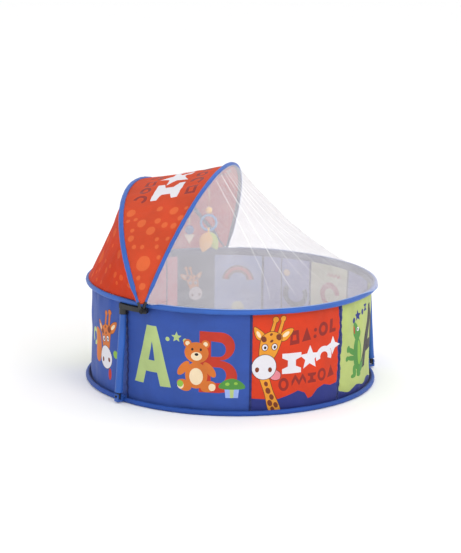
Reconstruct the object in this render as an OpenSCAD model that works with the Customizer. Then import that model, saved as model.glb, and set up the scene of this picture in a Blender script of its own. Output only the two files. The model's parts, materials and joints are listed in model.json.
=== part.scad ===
// Round travel play yard: two sprung hoops, a printed fabric wall held up by three folding
// struts, a two-arch canopy with a mosquito net, and two hanging toys.
// Origin: centre of the floor cloth's underside. +Z up, canopy at +Y, entry side at -Y.

/* [Yard] */
// Radius of the hoops' centre line
hoop_r = 541; // [500:1:580]
// Radius of the padded tube that covers each hoop
tube_r = 9; // [8:0.5:9.5]
// Height of the upper hoop's centre above the floor
rim_z = 376; // [372:1:380]
// Outer radius of the printed wall
wall_r = 526.5; // [520:0.5:527]
// Thickness of one wall cloth, print and backing together
cloth_t = 1.2; // [0.8:0.1:1.3]
// Direction of the first seam, from +X towards +Y
first_seam = 150.6; // [150:0.1:152]
// Width of the letter panel, in degrees round the wall
letter_span = 52.6; // [52:0.1:55]
// Width of the long-necked animal's panel
animal_span = 40.4; // [39:0.1:42]
// Thickness of the padded floor mat
mat_t = 34; // [20:1:45]

/* [Struts] */
// Angle of the side struts from the canopy's middle
strut_angle = 60; // [58:1:62]
// Direction of the front strut, from +X towards +Y
front_strut = 300; // [286:1:304]
// Radius at which a strut's foot pivots, outside the lower hoop
foot_r = 565; // [564:1:566]
// Height of the foot pivot
foot_z = 24; // [24:1:26]
// Length of a strut from pivot to tip
strut_len = 316; // [310:1:318]
// Lean of a strut towards the yard at its top
strut_lean = 4; // [3.5:0.1:4.2]
// Radius of a strut's fabric sleeve
sleeve_r = 12.5; // [10:0.5:12.5]

/* [Canopy] */
// Distance of the canopy's pivot line behind the centre
pivot_y = 176; // [172:1:180]
// Height of the canopy's pivot line
pivot_z = 362; // [358:1:362]
// Half the span of the front arch, which pivots inside the middle one
front_span = 540; // [538:1:542]
// Height of the front arch above the pivot line
front_rise = 468; // [450:1:480]
// Forward lean of the front arch
front_lean = 18.5; // [15:0.5:22]
// Half the span of the middle arch
mid_span = 553.5; // [553:0.5:556]
// Height of the middle arch above the pivot line
mid_rise = 420; // [405:1:425]
// Backward lean of the middle arch
mid_lean = 29; // [27:0.5:32]
// Radius of the binding round each arch
binding_r = 5.8; // [5:0.1:5.8]
// Sag of the mosquito net at its middle
net_sag = 62; // [0:1:80]

/* [Toys] */
// Place of the ring toy along the front arch, 0 at the left pivot and 1 at the right
ring_toy_at = 0.375; // [0.3:0.005:0.5]
// Place of the tuft toy along the front arch
tuft_toy_at = 0.262; // [0.24:0.005:0.27]
// Turn of both toys about the vertical
toy_turn = 15; // [0:1:30]

/* [Hidden] */
$fn = 96;

wire_r = 2;
wire_room = 3.4;
ferrule_r = 3.1;
ferrule_span = 4;
cloth_z = 1.5;
wall_top = rim_z - 2;
lining_r = wall_r - cloth_t - 0.3;
panel_count = 7;
plain_span = (360 - front_strut + first_seam) / 4;
seams = [first_seam, first_seam + letter_span, first_seam + letter_span + animal_span,
    for (k = [0:4]) front_strut + k * plain_span];
panel_gap = 0.15;
mat_r = wall_r - 8.5;
mat_edge = mat_t / 2;
tab_in = wall_r + 0.5;
tab_t = 2;
wall_clear = wall_r + 3;
arm_in = 533;
arm_out = 556;
arm_low = 348;
arm_top = rim_z - tube_r - 0.4;
rod_r = 5;
rod_bore = 3.5;
rod_low = 16.2;
spigot_r = 3.4;
cap_r = 7;
pin_r = 3;
sleeve_low = 18;
sleeve_top = strut_len - 28;
socket_r = 15;
socket_room = rod_r + 1.4;
socket_low = strut_len - 12;
socket_top = strut_len + 26;
socket_roof = strut_len + 11;
pivot_pin_r = 4;
eye_r = 9;
eye_t = 5;
arch_rod_r = 2.5;
binding_room = 2.7;
end_tube = 34;
rod_start = 14;
rim_cloth_z = rim_z + tube_r + 1.5;
shell_t = 1.6;
edge_gap = binding_r + 3.6;
toy_pin_r = 2;
toy_drop = 20;
ring_toy_hole = 28;

BLUE = "royalblue";
NAVY = "midnightblue";
RED = "orangered";
BLACK = "#1c1c1c";
LIME = "darkseagreen";

// ---- shared shapes ----

// A ring of round section about Z, from angle a for a sweep of span degrees.
module hoop(r, section_r, z, a = 0, span = 360)
    rotate([0, 0, a]) translate([0, 0, z])
        rotate_extrude(angle = span, $fn = 240) translate([r, 0]) circle(section_r, $fn = 48);

// A band of rectangular section about Z.
module band(r_in, r_out, z_low, z_high, a = 0, span = 360)
    rotate([0, 0, a]) rotate_extrude(angle = span, $fn = 240)
        translate([r_in, z_low]) square([r_out - r_in, z_high - z_low]);

// The foot of the strut that stands in direction a, with +X outwards and +Z up the strut.
module at_strut(a)
    rotate([0, 0, a]) translate([foot_r, 0, foot_z]) rotate([0, -strut_lean, 0]) children();

// A circular arc through both pivots and the crown: its radius and its centre's height.
function arch_radius(span, rise) = (span * span + rise * rise) / (2 * rise);
function arch_base(span, rise) =
    asin((arch_radius(span, rise) - rise) / arch_radius(span, rise));

// A point on an arch, t from 0 at the left pivot to 1 at the right, for a forward lean.
function arch_point(span, rise, lean, t) =
    let (r = arch_radius(span, rise), a0 = arch_base(span, rise), a = a0 + (180 - 2 * a0) * t,
        up = rise - r + r * sin(a))
    [-r * cos(a), pivot_y - up * sin(lean), pivot_z + up * cos(lean)];
function front_point(t) = arch_point(front_span, front_rise, front_lean, t);
function mid_point(t) = arch_point(mid_span, mid_rise, -mid_lean, t);

// The arch's own plane, with +X to the right pivot and +Z up the arch.
module in_arch_plane(lean)
    translate([0, pivot_y, pivot_z]) rotate([lean, 0, 0]) children();

// A tube of an arch's shape, from trim millimetres above each pivot.
module arch_tube(span, rise, section_r, trim) {
    r = arch_radius(span, rise);
    a0 = arch_base(span, rise) + trim / r * 180 / PI;
    translate([0, 0, rise - r]) rotate([90, 0, 0]) rotate([0, 0, a0])
        rotate_extrude(angle = 180 - 2 * a0, $fn = 240)
            translate([r, 0]) circle(section_r, $fn = 40);
}

function lerp(a, b, s) = a * (1 - s) + b * s;
function unit(v) = v / norm(v);

// A thin cloth between rows of points: rows[i][j], given half its thickness to each side.
module cloth_shell(rows, thick) {
    n = len(rows);
    m = len(rows[0]);
    function side(i, j) = unit(cross(
        rows[min(i + 1, n - 1)][j] - rows[max(i - 1, 0)][j],
        rows[i][min(j + 1, m - 1)] - rows[i][max(j - 1, 0)]));
    outer = [for (i = [0:n - 1], j = [0:m - 1]) rows[i][j] + side(i, j) * thick / 2];
    inner = [for (i = [0:n - 1], j = [0:m - 1]) rows[i][j] - side(i, j) * thick / 2];
    half = n * m;
    function at(i, j) = i * m + j;
    function quad(a, b, c, d) = [[a, b, c], [a, c, d]];
    top = [for (i = [0:n - 2], j = [0:m - 2])
        each quad(at(i, j), at(i, j + 1), at(i + 1, j + 1), at(i + 1, j))];
    under = [for (f = top) [half + f[0], half + f[2], half + f[1]]];
    rim = concat([for (j = [0:m - 2]) [at(0, j + 1), at(0, j)]],
        [for (j = [0:m - 2]) [at(n - 1, j), at(n - 1, j + 1)]],
        [for (i = [0:n - 2]) [at(i, 0), at(i + 1, 0)]],
        [for (i = [0:n - 2]) [at(i + 1, m - 1), at(i, m - 1)]]);
    edge = [for (e = rim) each quad(e[0], e[1], half + e[1], half + e[0])];
    polyhedron(concat(outer, inner), concat(top, under, edge));
}

// ---- floor and lower hoop ----

module floor_cloth() color(NAVY) cylinder(r = hoop_r - 10, h = cloth_z);

module floor_mat() color("wheat") translate([0, 0, cloth_z + 0.5]) rotate_extrude($fn = 160) {
    square([mat_r - mat_edge, mat_t]);
    translate([mat_r - mat_edge, mat_edge]) intersection() {
        circle(mat_edge, $fn = 48);
        translate([0, -mat_edge]) square([mat_edge, mat_t]);
    }
}

module hoop_wire(z) color("silver") hoop(hoop_r, wire_r, z);

module hoop_ferrule(z) color("gray") difference() {
    hoop(hoop_r, ferrule_r, z, -ferrule_span / 2, ferrule_span);
    hoop(hoop_r, wire_r + 0.05, z);
}

// The padded tube round a hoop, with the sewn tab that reaches in to the wall.
module hoop_sleeve(z, tab_z) color(BLUE) difference() {
    union() {
        hoop(hoop_r, tube_r, z);
        band(tab_in, hoop_r - tube_r + 5, tab_z, tab_z + tab_t);
    }
    hoop(hoop_r, wire_room, z);
}

// ---- wall ----

module wall_panel(k, tint) color(tint)
    band(wall_r - cloth_t, wall_r, cloth_z + 0.3, wall_top,
        seams[k] + panel_gap / 2, seams[k + 1] - seams[k] - panel_gap);

module lining_panel(k, tint) color(tint)
    band(lining_r - cloth_t, lining_r, cloth_z + 0.3, wall_top,
        seams[k] + panel_gap / 2, seams[k + 1] - seams[k] - panel_gap);

module seam_tapes() color(NAVY) for (k = [0:panel_count - 1])
    band(wall_r + 0.3, wall_r + 1.3, 22, rim_z - 16, seams[k] - 0.6, 1.2);

// ---- struts ----

// A clevis beside the lower hoop, with a saddle plate that hooks over the hoop.
module foot_bracket(a) color(BLUE) difference() {
    union() {
        at_strut(a) {
            for (x = [-11.5, 7]) translate([x, -9, -12]) cube([4.5, 18, 21]);
            translate([-11.5, -9, -19]) cube([23, 18, 7]);
        }
        band(hoop_r + tube_r + 1, hoop_r + tube_r + 3, 4, 2 * tube_r + 3.5, a - 1.1, 2.2);
        band(hoop_r - tube_r + 2, hoop_r + tube_r + 3, 2 * tube_r + 0.5, 2 * tube_r + 3.5,
            a - 1.1, 2.2);
    }
    at_strut(a) translate([-15, 0, 0]) rotate([0, 90, 0]) cylinder(r = pin_r + 0.02, h = 30);
}

module foot_pin(a) color("silver") at_strut(a) rotate([0, 90, 0]) {
    translate([0, 0, -12]) cylinder(r = pin_r, h = 25);
    translate([0, 0, 12]) cylinder(r = pin_r + 1.5, h = 2);
}

// The plastic end that turns on the foot pin, with a spigot inside the rod.
module strut_cap(a) color(BLACK) at_strut(a) difference() {
    union() {
        intersection() {
            translate([0, 0, -7]) cylinder(r = cap_r, h = 22.8);
            translate([-6, -cap_r, -7]) cube([12, 2 * cap_r, 22.8]);
        }
        translate([0, 0, 15]) cylinder(r = spigot_r, h = 14);
    }
    translate([-15, 0, 0]) rotate([0, 90, 0]) cylinder(r = pin_r + 0.06, h = 30);
}

module strut_rod(a) color("gainsboro") at_strut(a) translate([0, 0, rod_low]) difference() {
    cylinder(r = rod_r, h = strut_len - 8 - rod_low);
    translate([0, 0, -1]) cylinder(r = rod_bore, h = strut_len);
}

module strut_tip(a) color(BLACK) at_strut(a) {
    translate([0, 0, strut_len - 26]) cylinder(r = spigot_r, h = 20);
    intersection() {
        translate([0, 0, strut_len - 5]) sphere(rod_r);
        translate([-rod_r, -rod_r, strut_len - 5]) cube(2 * rod_r);
    }
    translate([0, 0, strut_len - 7.8]) cylinder(r = rod_r, h = 2.8);
}

module strut_sleeve(a) color(BLUE) at_strut(a) translate([0, 0, sleeve_low]) difference() {
    cylinder(r = sleeve_r, h = sleeve_top - sleeve_low);
    translate([0, 0, -1]) cylinder(r = sleeve_r - 1.2, h = sleeve_top);
}

// ---- rim connectors ----

// A socket under the upper hoop, open at the bottom and on the side the strut leaves by.
module rim_socket(a, way) difference() {
    intersection() {
        at_strut(a) translate([0, 0, socket_low]) cylinder(r = socket_r, h = 60);
        rotate([0, 0, a]) translate([400, -40, 0]) cube([200, 80, arm_top]);
    }
    at_strut(a) {
        translate([0, 0, socket_low - 5])
            cylinder(r = socket_room, h = socket_roof - socket_low + 5);
        translate([-socket_room, way > 0 ? 0 : -30, socket_low - 5])
            cube([2 * socket_room, 30, socket_roof - socket_low + 5]);
    }
    cylinder(r = wall_clear, h = 400);
}

// The socket with a curved arm under the hoop, which carries the canopy's pivot pin.
module side_connector(a, way) color(BLACK) {
    boss_x = front_span - 9;
    rim_socket(a, way);
    difference() {
        union() {
            intersection() {
                band(arm_in, arm_out, arm_low + 0.7, arm_top - 0.7, a > 90 ? a - 1 : a - 15, 16);
                translate([-600, pivot_y - 4, 0]) cube([1200, 300, 400]);
            }
            translate([a > 90 ? -boss_x : 505, pivot_y - 10, arm_low])
                cube([boss_x - 505, 20, arm_top - arm_low]);
        }
        translate([-600, pivot_y, pivot_z]) rotate([0, 90, 0]) cylinder(r = pivot_pin_r, h = 1200);
        cylinder(r = wall_clear, h = 400);
    }
}

module front_connector() color(BLACK) rim_socket(front_strut, 1);

module canopy_pivot_pin(side) color("silver")
    translate([0, pivot_y, pivot_z]) rotate([0, side * 90, 0]) {
        translate([0, 0, 526]) cylinder(r = pivot_pin_r, h = 34);
        translate([0, 0, mid_span + 3.5]) cylinder(r = 7, h = 3);
        difference() {
            translate([0, 0, front_span + 2.8]) cylinder(r = 6, h = mid_span - front_span - 5.6);
            translate([0, 0, front_span]) cylinder(r = pivot_pin_r - 1, h = 30);
        }
    }

// ---- canopy ----

// Both end fittings of an arch: a flat eye on the pivot pin and a tube for the rod.
module arch_ends(span, rise, lean) color(BLACK) in_arch_plane(lean) for (side = [-1, 1])
    difference() {
        union() {
            translate([side * span, 0, 0]) rotate([0, 90, 0])
                cylinder(r = eye_r, h = eye_t, center = true);
            translate([side * span, 0, 0]) rotate([0, -side * arch_base(span, rise), 0])
                translate([0, 0, 8.6]) cylinder(r = 5.2, h = end_tube - 8.6);
        }
        translate([side * span, 0, 0]) rotate([0, 90, 0])
            cylinder(r = pivot_pin_r + 0.06, h = 20, center = true);
        arch_tube(span, rise, binding_room, rod_start - 0.5);
    }

module arch_rod(span, rise, lean) color("ivory")
    in_arch_plane(lean) arch_tube(span, rise, arch_rod_r, rod_start);

module arch_binding(span, rise, lean) color(BLUE) in_arch_plane(lean) difference() {
    arch_tube(span, rise, binding_r, end_tube + 5);
    arch_tube(span, rise, binding_room, end_tube - 5);
}

// A canopy cloth between two curves, kept edge_a and edge_b clear of them.
function strip_row(a, b, edge_a, edge_b, steps) =
    let (w = norm(b - a), s0 = edge_a / w, s1 = 1 - edge_b / w)
    [for (j = [0:steps]) lerp(a, b, lerp(s0, s1, j / steps))];

rim_start = 158;
function rear_rim(t) = let (a = rim_start + (180 - 2 * rim_start) * t)
    [(hoop_r - 3) * cos(a), (hoop_r - 3) * sin(a), rim_cloth_z];
net_start = 166;
function front_rim(t) = let (a = net_start + (540 - 2 * net_start) * t)
    [(hoop_r - 5) * cos(a), (hoop_r - 5) * sin(a), rim_cloth_z + 1];
function net_point(t, s) = lerp(front_point(t), front_rim(t), s)
    - [0, 0, 4 * s * (1 - s) * net_sag * sin(180 * t)];

module canopy_front() color(RED) cloth_shell(
    [for (i = [0:24]) let (t = lerp(0.05, 0.95, i / 24))
        strip_row(front_point(t), mid_point(t), edge_gap, edge_gap, 4)], shell_t);

module canopy_back() color(RED) cloth_shell(
    [for (i = [0:24]) let (t = lerp(0.04, 0.96, i / 24))
        strip_row(mid_point(t), rear_rim(t), edge_gap, 0, 4)], shell_t);

module net() color("white", 0.4) cloth_shell(
    [for (i = [0:36]) let (t = lerp(0.05, 0.95, i / 36),
            s0 = edge_gap / norm(front_rim(t) - front_point(t)))
        [for (j = [0:6]) net_point(t, lerp(s0, 1, j / 6))]], 1);

module net_hem() color("white") hoop(hoop_r + 1, 2.5, rim_cloth_z + 2, net_start, 540 - 2 * net_start);

// ---- toys ----

// The place under the front arch where a toy hangs, turned to face the yard's left side.
module at_toy(t) translate(front_point(t)) translate([0, 0, -toy_drop]) children();

// A loop of tape round the arch, with the pin that a toy's ribbon hangs on.
module toy_loop(t) color("white") difference() {
    r = arch_radius(front_span, front_rise);
    a0 = arch_base(front_span, front_rise);
    a = a0 + (180 - 2 * a0) * t;
    union() {
        in_arch_plane(front_lean) translate([0, 0, front_rise - r]) rotate([0, a - 90, 0])
            translate([0, 0, r]) rotate([0, 90, 0]) cylinder(r = 8.2, h = 16, center = true);
        at_toy(t) {
            rotate([0, 90, 0]) cylinder(r = toy_pin_r, h = 16, center = true);
            for (x = [-7.5, 5.5]) translate([x, -1.5, 0]) cube([2, 3, toy_drop - 5]);
        }
    }
    in_arch_plane(front_lean) arch_tube(front_span, front_rise, binding_r + 0.2, 60);
}

module ring_toy_ribbon() color("khaki") at_toy(ring_toy_at) {
    rotate([0, 90, 0]) difference() {
        cylinder(r = 3.4, h = 9.6, center = true);
        cylinder(r = toy_pin_r + 0.08, h = 12, center = true);
    }
    translate([-4.8, -0.7, -76]) cube([9.6, 1.4, 73.2]);
    translate([0, 0, -83.4]) sphere(12.5);
}

module ring_toy_ring() color("skyblue") at_toy(ring_toy_at) rotate([0, 0, toy_turn])
    translate([0, 0, -129]) rotate([0, 90, 0])
        rotate_extrude($fn = 96) translate([ring_toy_hole, 0]) circle(4.6, $fn = 32);

// One soft leaf: a flat teardrop that hangs from the origin.
module leaf(long, wide, thick) rotate([90, 0, 90]) translate([0, 0, -thick / 2])
    linear_extrude(thick) hull() {
        translate([0, -4]) circle(4, $fn = 24);
        translate([0, -long * 0.58]) circle(wide / 2, $fn = 32);
        translate([0, -long + 5]) circle(5, $fn = 24);
    }

module ring_toy_leaves() at_toy(ring_toy_at) rotate([0, 0, toy_turn]) translate([0, 0, -157]) {
    color("gold") rotate([90, 0, 0])
        rotate_extrude($fn = 48) translate([9, 0]) circle(1.8, $fn = 24);
    color("orange") translate([-4, 0, -8.6]) rotate([16, 0, 0]) leaf(76, 44, 6);
    color("yellowgreen") translate([4, 0, -8.6]) rotate([-26, 0, 0]) leaf(72, 36, 6);
}

module tuft_toy_ribbon() color("khaki") at_toy(tuft_toy_at) {
    rotate([0, 90, 0]) difference() {
        cylinder(r = 3.4, h = 9.6, center = true);
        cylinder(r = toy_pin_r + 0.08, h = 12, center = true);
    }
    translate([-4.8, -0.7, -26]) cube([9.6, 1.4, 23.2]);
}

module tuft_toy_tuft() color("steelblue") at_toy(tuft_toy_at) translate([0, 0, -45]) sphere(18.5);

module tuft_toy_pennant() color("linen") at_toy(tuft_toy_at) rotate([0, 0, toy_turn])
    translate([-3, 0, -64]) rotate([90, 0, 90])
        linear_extrude(6) polygon([[-18, 0], [18, 0], [0, -34]]);

// ---- nodes ----

left = 90 + strut_angle;
right = 90 - strut_angle;
front = front_strut;
panel_tints = [BLUE, RED, LIME, BLUE, RED, LIME, BLUE];
lining_tints = ["lightsteelblue", LIME, "lightsteelblue", "plum", NAVY, "salmon", LIME];

floor_cloth();
floor_mat();
hoop_wire(tube_r);  // lower_hoop_wire
hoop_ferrule(tube_r);  // lower_hoop_ferrule
hoop_sleeve(tube_r, tube_r - 1);  // lower_hoop_sleeve
wall_panel(0, panel_tints[0]);  // wall_panel_1
wall_panel(1, panel_tints[1]);  // wall_panel_2
wall_panel(2, panel_tints[2]);  // wall_panel_3
wall_panel(3, panel_tints[3]);  // wall_panel_4
wall_panel(4, panel_tints[4]);  // wall_panel_5
wall_panel(5, panel_tints[5]);  // wall_panel_6
wall_panel(6, panel_tints[6]);  // wall_panel_7
lining_panel(0, lining_tints[0]);  // lining_panel_1
lining_panel(1, lining_tints[1]);  // lining_panel_2
lining_panel(2, lining_tints[2]);  // lining_panel_3
lining_panel(3, lining_tints[3]);  // lining_panel_4
lining_panel(4, lining_tints[4]);  // lining_panel_5
lining_panel(5, lining_tints[5]);  // lining_panel_6
lining_panel(6, lining_tints[6]);  // lining_panel_7
seam_tapes();
foot_bracket(left);  // foot_bracket_left
foot_bracket(right);  // foot_bracket_right
foot_bracket(front);  // foot_bracket_front
for (a = [left, right, front]) foot_pin(a);  // foot_pins
hoop_wire(rim_z);  // upper_hoop_wire
hoop_ferrule(rim_z);  // upper_hoop_ferrule
hoop_sleeve(rim_z, rim_z - 8);  // upper_hoop_sleeve
side_connector(left, -1);  // rim_connector_left
side_connector(right, 1);  // rim_connector_right
front_connector();  // rim_connector_front
for (side = [-1, 1]) canopy_pivot_pin(side);  // canopy_pivot_pins
canopy_back();
strut_rod(left);  // strut_left
strut_cap(left);  // strut_cap_left
strut_tip(left);  // strut_tip_left
strut_sleeve(left);  // strut_sleeve_left
strut_rod(right);  // strut_right
strut_cap(right);  // strut_cap_right
strut_tip(right);  // strut_tip_right
strut_sleeve(right);  // strut_sleeve_right
strut_rod(front);  // strut_front
strut_cap(front);  // strut_cap_front
strut_tip(front);  // strut_tip_front
strut_sleeve(front);  // strut_sleeve_front
arch_rod(front_span, front_rise, front_lean);  // front_arch_rod
arch_ends(front_span, front_rise, front_lean);  // front_arch_ends
arch_binding(front_span, front_rise, front_lean);  // front_arch_binding
arch_rod(mid_span, mid_rise, -mid_lean);  // mid_arch_rod
arch_ends(mid_span, mid_rise, -mid_lean);  // mid_arch_ends
arch_binding(mid_span, mid_rise, -mid_lean);  // mid_arch_binding
canopy_front();
net();
net_hem();
union() {  // toy_loops
    toy_loop(ring_toy_at);
    toy_loop(tuft_toy_at);
}
ring_toy_ribbon();
ring_toy_ring();
ring_toy_leaves();
tuft_toy_ribbon();
tuft_toy_tuft();
tuft_toy_pennant();
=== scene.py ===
# Round travel play yard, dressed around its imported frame. Metres, +Z up, canopy at +Y.
import json
import math

import bpy
import numpy as np
from mathutils import Matrix, Vector
from mathutils.geometry import delaunay_2d_cdt


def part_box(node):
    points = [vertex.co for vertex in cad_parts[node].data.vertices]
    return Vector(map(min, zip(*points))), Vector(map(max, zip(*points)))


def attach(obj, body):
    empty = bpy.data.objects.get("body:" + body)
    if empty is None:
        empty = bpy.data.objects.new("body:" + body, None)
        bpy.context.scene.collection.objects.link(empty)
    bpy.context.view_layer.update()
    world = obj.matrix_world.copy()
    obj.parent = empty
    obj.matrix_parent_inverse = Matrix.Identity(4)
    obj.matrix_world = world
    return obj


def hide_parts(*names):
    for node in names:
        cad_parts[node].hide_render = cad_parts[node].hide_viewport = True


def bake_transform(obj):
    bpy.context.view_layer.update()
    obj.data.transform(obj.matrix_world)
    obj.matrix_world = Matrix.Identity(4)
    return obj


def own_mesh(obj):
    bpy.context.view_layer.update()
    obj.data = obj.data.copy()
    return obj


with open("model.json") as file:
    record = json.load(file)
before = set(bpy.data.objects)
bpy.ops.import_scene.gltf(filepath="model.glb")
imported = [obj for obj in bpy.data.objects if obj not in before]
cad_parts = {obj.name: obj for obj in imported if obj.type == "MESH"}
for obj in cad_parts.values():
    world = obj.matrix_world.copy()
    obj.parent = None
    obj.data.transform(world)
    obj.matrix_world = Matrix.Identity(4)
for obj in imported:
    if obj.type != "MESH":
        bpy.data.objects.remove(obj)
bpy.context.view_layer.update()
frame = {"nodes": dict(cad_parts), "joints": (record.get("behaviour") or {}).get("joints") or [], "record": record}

# ---- sizes, from the frame where it holds them ----
JOINTS = {j["name"]: j for j in frame["joints"]}
ring_low, ring_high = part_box("upper_hoop_sleeve")
TUBE_R = (ring_high[2] - ring_low[2]) / 2
HOOP_R = ring_high[0] - TUBE_R
RIM_Z = (ring_high[2] + ring_low[2]) / 2
wall_low, wall_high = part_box("wall_panel_1")
WALL_Z0, WALL_Z1 = wall_low[2], wall_high[2]
WALL_R = HOOP_R - 0.0151
LINING_R = WALL_R - 0.0018
SEAM_R = WALL_R + 0.0006
mat_low, mat_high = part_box("floor_mat")
MAT_R, MAT_TOP, MAT_LOW = mat_high[0], mat_high[2], mat_low[2]
PIVOT = Vector(JOINTS["canopy_fold"]["pos_m"])
FRONT = (0.540, 0.468, 18.5)   # half span, rise, forward lean of the front arch
MID = (0.5535, 0.420, -29.0)   # the same for the middle arch
STRUTS = {"left": 150.0, "right": 30.0, "front": 300.0}
FOOT_R, FOOT_Z, STRUT_LEAN = 0.565, 0.024, 4.0
SEAMS = [150.6, 203.2, 243.6, 300.0, 352.65, 405.3, 457.95, 510.6]

# ---- camera ----
IMAGE_W, IMAGE_H = 461, 553
FOCAL_PX = 1850.2
EYE = Vector((-6.5785, -1.8048, 1.9058))
AIM = Vector((0, 0, 0.2))
ROLL = math.radians(0.90)
AIM_DOWN_PX, AIM_RIGHT_PX = 47.5, 0.5


def place_camera():
    camera = bpy.data.objects.new("camera", bpy.data.cameras.new("camera"))
    bpy.context.collection.objects.link(camera)
    camera.data.sensor_width = 36.0
    camera.data.lens = FOCAL_PX / max(IMAGE_W, IMAGE_H) * camera.data.sensor_width
    camera.data.clip_end = 100
    ahead = (AIM - EYE).normalized()
    right = ahead.cross(Vector((0, 0, 1))).normalized()
    up = right.cross(ahead)
    right, up = (right * math.cos(ROLL) + up * math.sin(ROLL),
                 up * math.cos(ROLL) - right * math.sin(ROLL))
    pitch = Matrix.Rotation(math.atan(AIM_DOWN_PX / FOCAL_PX), 3, right)
    yaw = Matrix.Rotation(math.atan(AIM_RIGHT_PX / FOCAL_PX), 3, up)
    ahead, up = yaw @ pitch @ ahead, yaw @ pitch @ up
    right = ahead.cross(up)
    turn = Matrix((right, up, -ahead)).transposed()
    camera.matrix_world = Matrix.Translation(EYE) @ turn.to_4x4()
    bpy.context.scene.camera = camera


place_camera()


# ---- materials ----
def srgb(r, g, b):
    """A linear colour from 0-255 display values."""
    def one(c):
        c /= 255
        return c / 12.92 if c <= 0.04045 else ((c + 0.055) / 1.055) ** 2.4
    return (one(r), one(g), one(b), 1.0)


def shade(colour, k):
    return (min(colour[0] * k, 1), min(colour[1] * k, 1), min(colour[2] * k, 1), 1)


class Graph:
    """A material's node tree, with short calls to add and join nodes."""

    def __init__(self, name):
        self.material = bpy.data.materials.new(name)
        self.material.use_nodes = True
        self.tree = self.material.node_tree
        self.shader = self.tree.nodes["Principled BSDF"]

    def add(self, kind, inputs=None, **settings):
        node = self.tree.nodes.new(kind)
        for key, value in settings.items():
            setattr(node, key, value)
        for key, value in (inputs or {}).items():
            if hasattr(value, "is_linked") or hasattr(value, "links"):
                self.tree.links.new(value, node.inputs[key])
            else:
                node.inputs[key].default_value = value
        return node

    def where(self, kind):
        return self.add("ShaderNodeTexCoord").outputs[kind]

    def join(self, output, socket):
        self.tree.links.new(output, self.shader.inputs[socket])

    def even(self, socket, value):
        """A value that is the same all over, on the shader's own socket."""
        self.shader.inputs[socket].default_value = value

    def maths(self, operation, a, b):
        return self.add("ShaderNodeMath", {0: a, 1: b}, operation=operation).outputs[0]

    def blend(self, factor, a, b):
        return self.add("ShaderNodeMixRGB", {0: factor, 1: a, 2: b}).outputs[0]

    def noise(self, where, scale, detail=3.0):
        node = self.add("ShaderNodeTexNoise", {"Vector": where, "Scale": scale, "Detail": detail})
        return node.outputs["Fac"]

    def span(self, value, low, high, to_low, to_high):
        node = self.add("ShaderNodeMapRange", {0: value, 1: low, 2: high, 3: to_low, 4: to_high})
        return node.outputs[0]

    def bands(self, where, period, direction):
        """Even stripes, 0 to 1, that repeat every period metres."""
        node = self.add("ShaderNodeTexWave", {"Vector": where, "Scale": math.pi / 10 / period},
                        wave_type="BANDS", bands_direction=direction, wave_profile="SIN")
        return node.outputs["Fac"]

    def bump(self, height, distance, strength):
        node = self.add("ShaderNodeBump",
                        {"Height": height, "Distance": distance, "Strength": strength})
        self.join(node.outputs[0], "Normal")


def cloth(name, colour, rough=0.66, sheen=0.08, period=0.0011, tone=0.10, specular=0.3, glow=0.0):
    """Plain-woven cloth: crossing threads, soft tone changes, a little sheen. glow is the share
    of light that comes through it."""
    g = Graph(name)
    where = g.where("UV")
    warp, weft = g.bands(where, period, "X"), g.bands(where, period, "Y")
    thread = g.maths("MULTIPLY", warp, weft)
    soft = g.noise(where, 9.0, 4.0)
    slub = g.noise(where, 240.0, 2.0)
    toned = g.blend(g.span(soft, 0.35, 0.65, 0.0, 1.0), shade(colour, 1 - tone),
                    shade(colour, 1 + tone))
    flecked = g.blend(g.span(slub, 0.3, 0.7, 0.0, 0.16), toned, shade(colour, 0.72))
    woven = g.blend(g.span(thread, 0.0, 1.0, 0.12, 0.0), flecked, shade(colour, 0.55))
    g.join(woven, "Base Color")
    g.join(g.span(soft, 0.3, 0.7, rough - 0.06, rough + 0.06), "Roughness")
    g.even("Sheen Weight", sheen)
    g.even("Sheen Roughness", 0.4)
    g.even("Specular IOR Level", specular)
    g.bump(g.maths("ADD", thread, g.maths("MULTIPLY", slub, 0.6)), 0.00025, 0.35)
    if glow:
        through = g.add("ShaderNodeBsdfTranslucent", {"Color": woven})
        mix = g.add("ShaderNodeMixShader", {0: glow, 1: g.shader.outputs[0],
                                            2: through.outputs[0]})
        g.tree.links.new(mix.outputs[0], g.tree.nodes["Material Output"].inputs["Surface"])
    return g.material


def plastic(name, colour, rough=0.42):
    """Moulded plastic: fine spark texture, with faint scuffs."""
    g = Graph(name)
    where = g.where("Object")
    scuff = g.noise(where, 45.0, 5.0)
    g.join(g.blend(g.span(scuff, 0.55, 0.75, 0.0, 0.12), colour, shade(colour, 2.2)), "Base Color")
    g.join(g.span(scuff, 0.35, 0.7, rough, rough + 0.16), "Roughness")
    g.bump(g.noise(where, 1600.0, 2.0), 0.0001, 0.35)
    return g.material


def metal(name, colour, rough=0.3):
    """Drawn metal with lengthwise die lines."""
    g = Graph(name)
    where = g.where("Object")
    drawn = g.add("ShaderNodeMapping", {"Vector": where, "Scale": (600, 600, 12)})
    line = g.noise(drawn.outputs[0], 1.0, 2.0)
    g.join(g.blend(g.span(line, 0.3, 0.7, 0.0, 0.35), colour, shade(colour, 0.6)), "Base Color")
    g.join(g.span(line, 0.3, 0.7, rough - 0.06, rough + 0.1), "Roughness")
    g.even("Metallic", 1.0)
    g.bump(line, 0.00005, 0.3)
    return g.material


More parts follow.
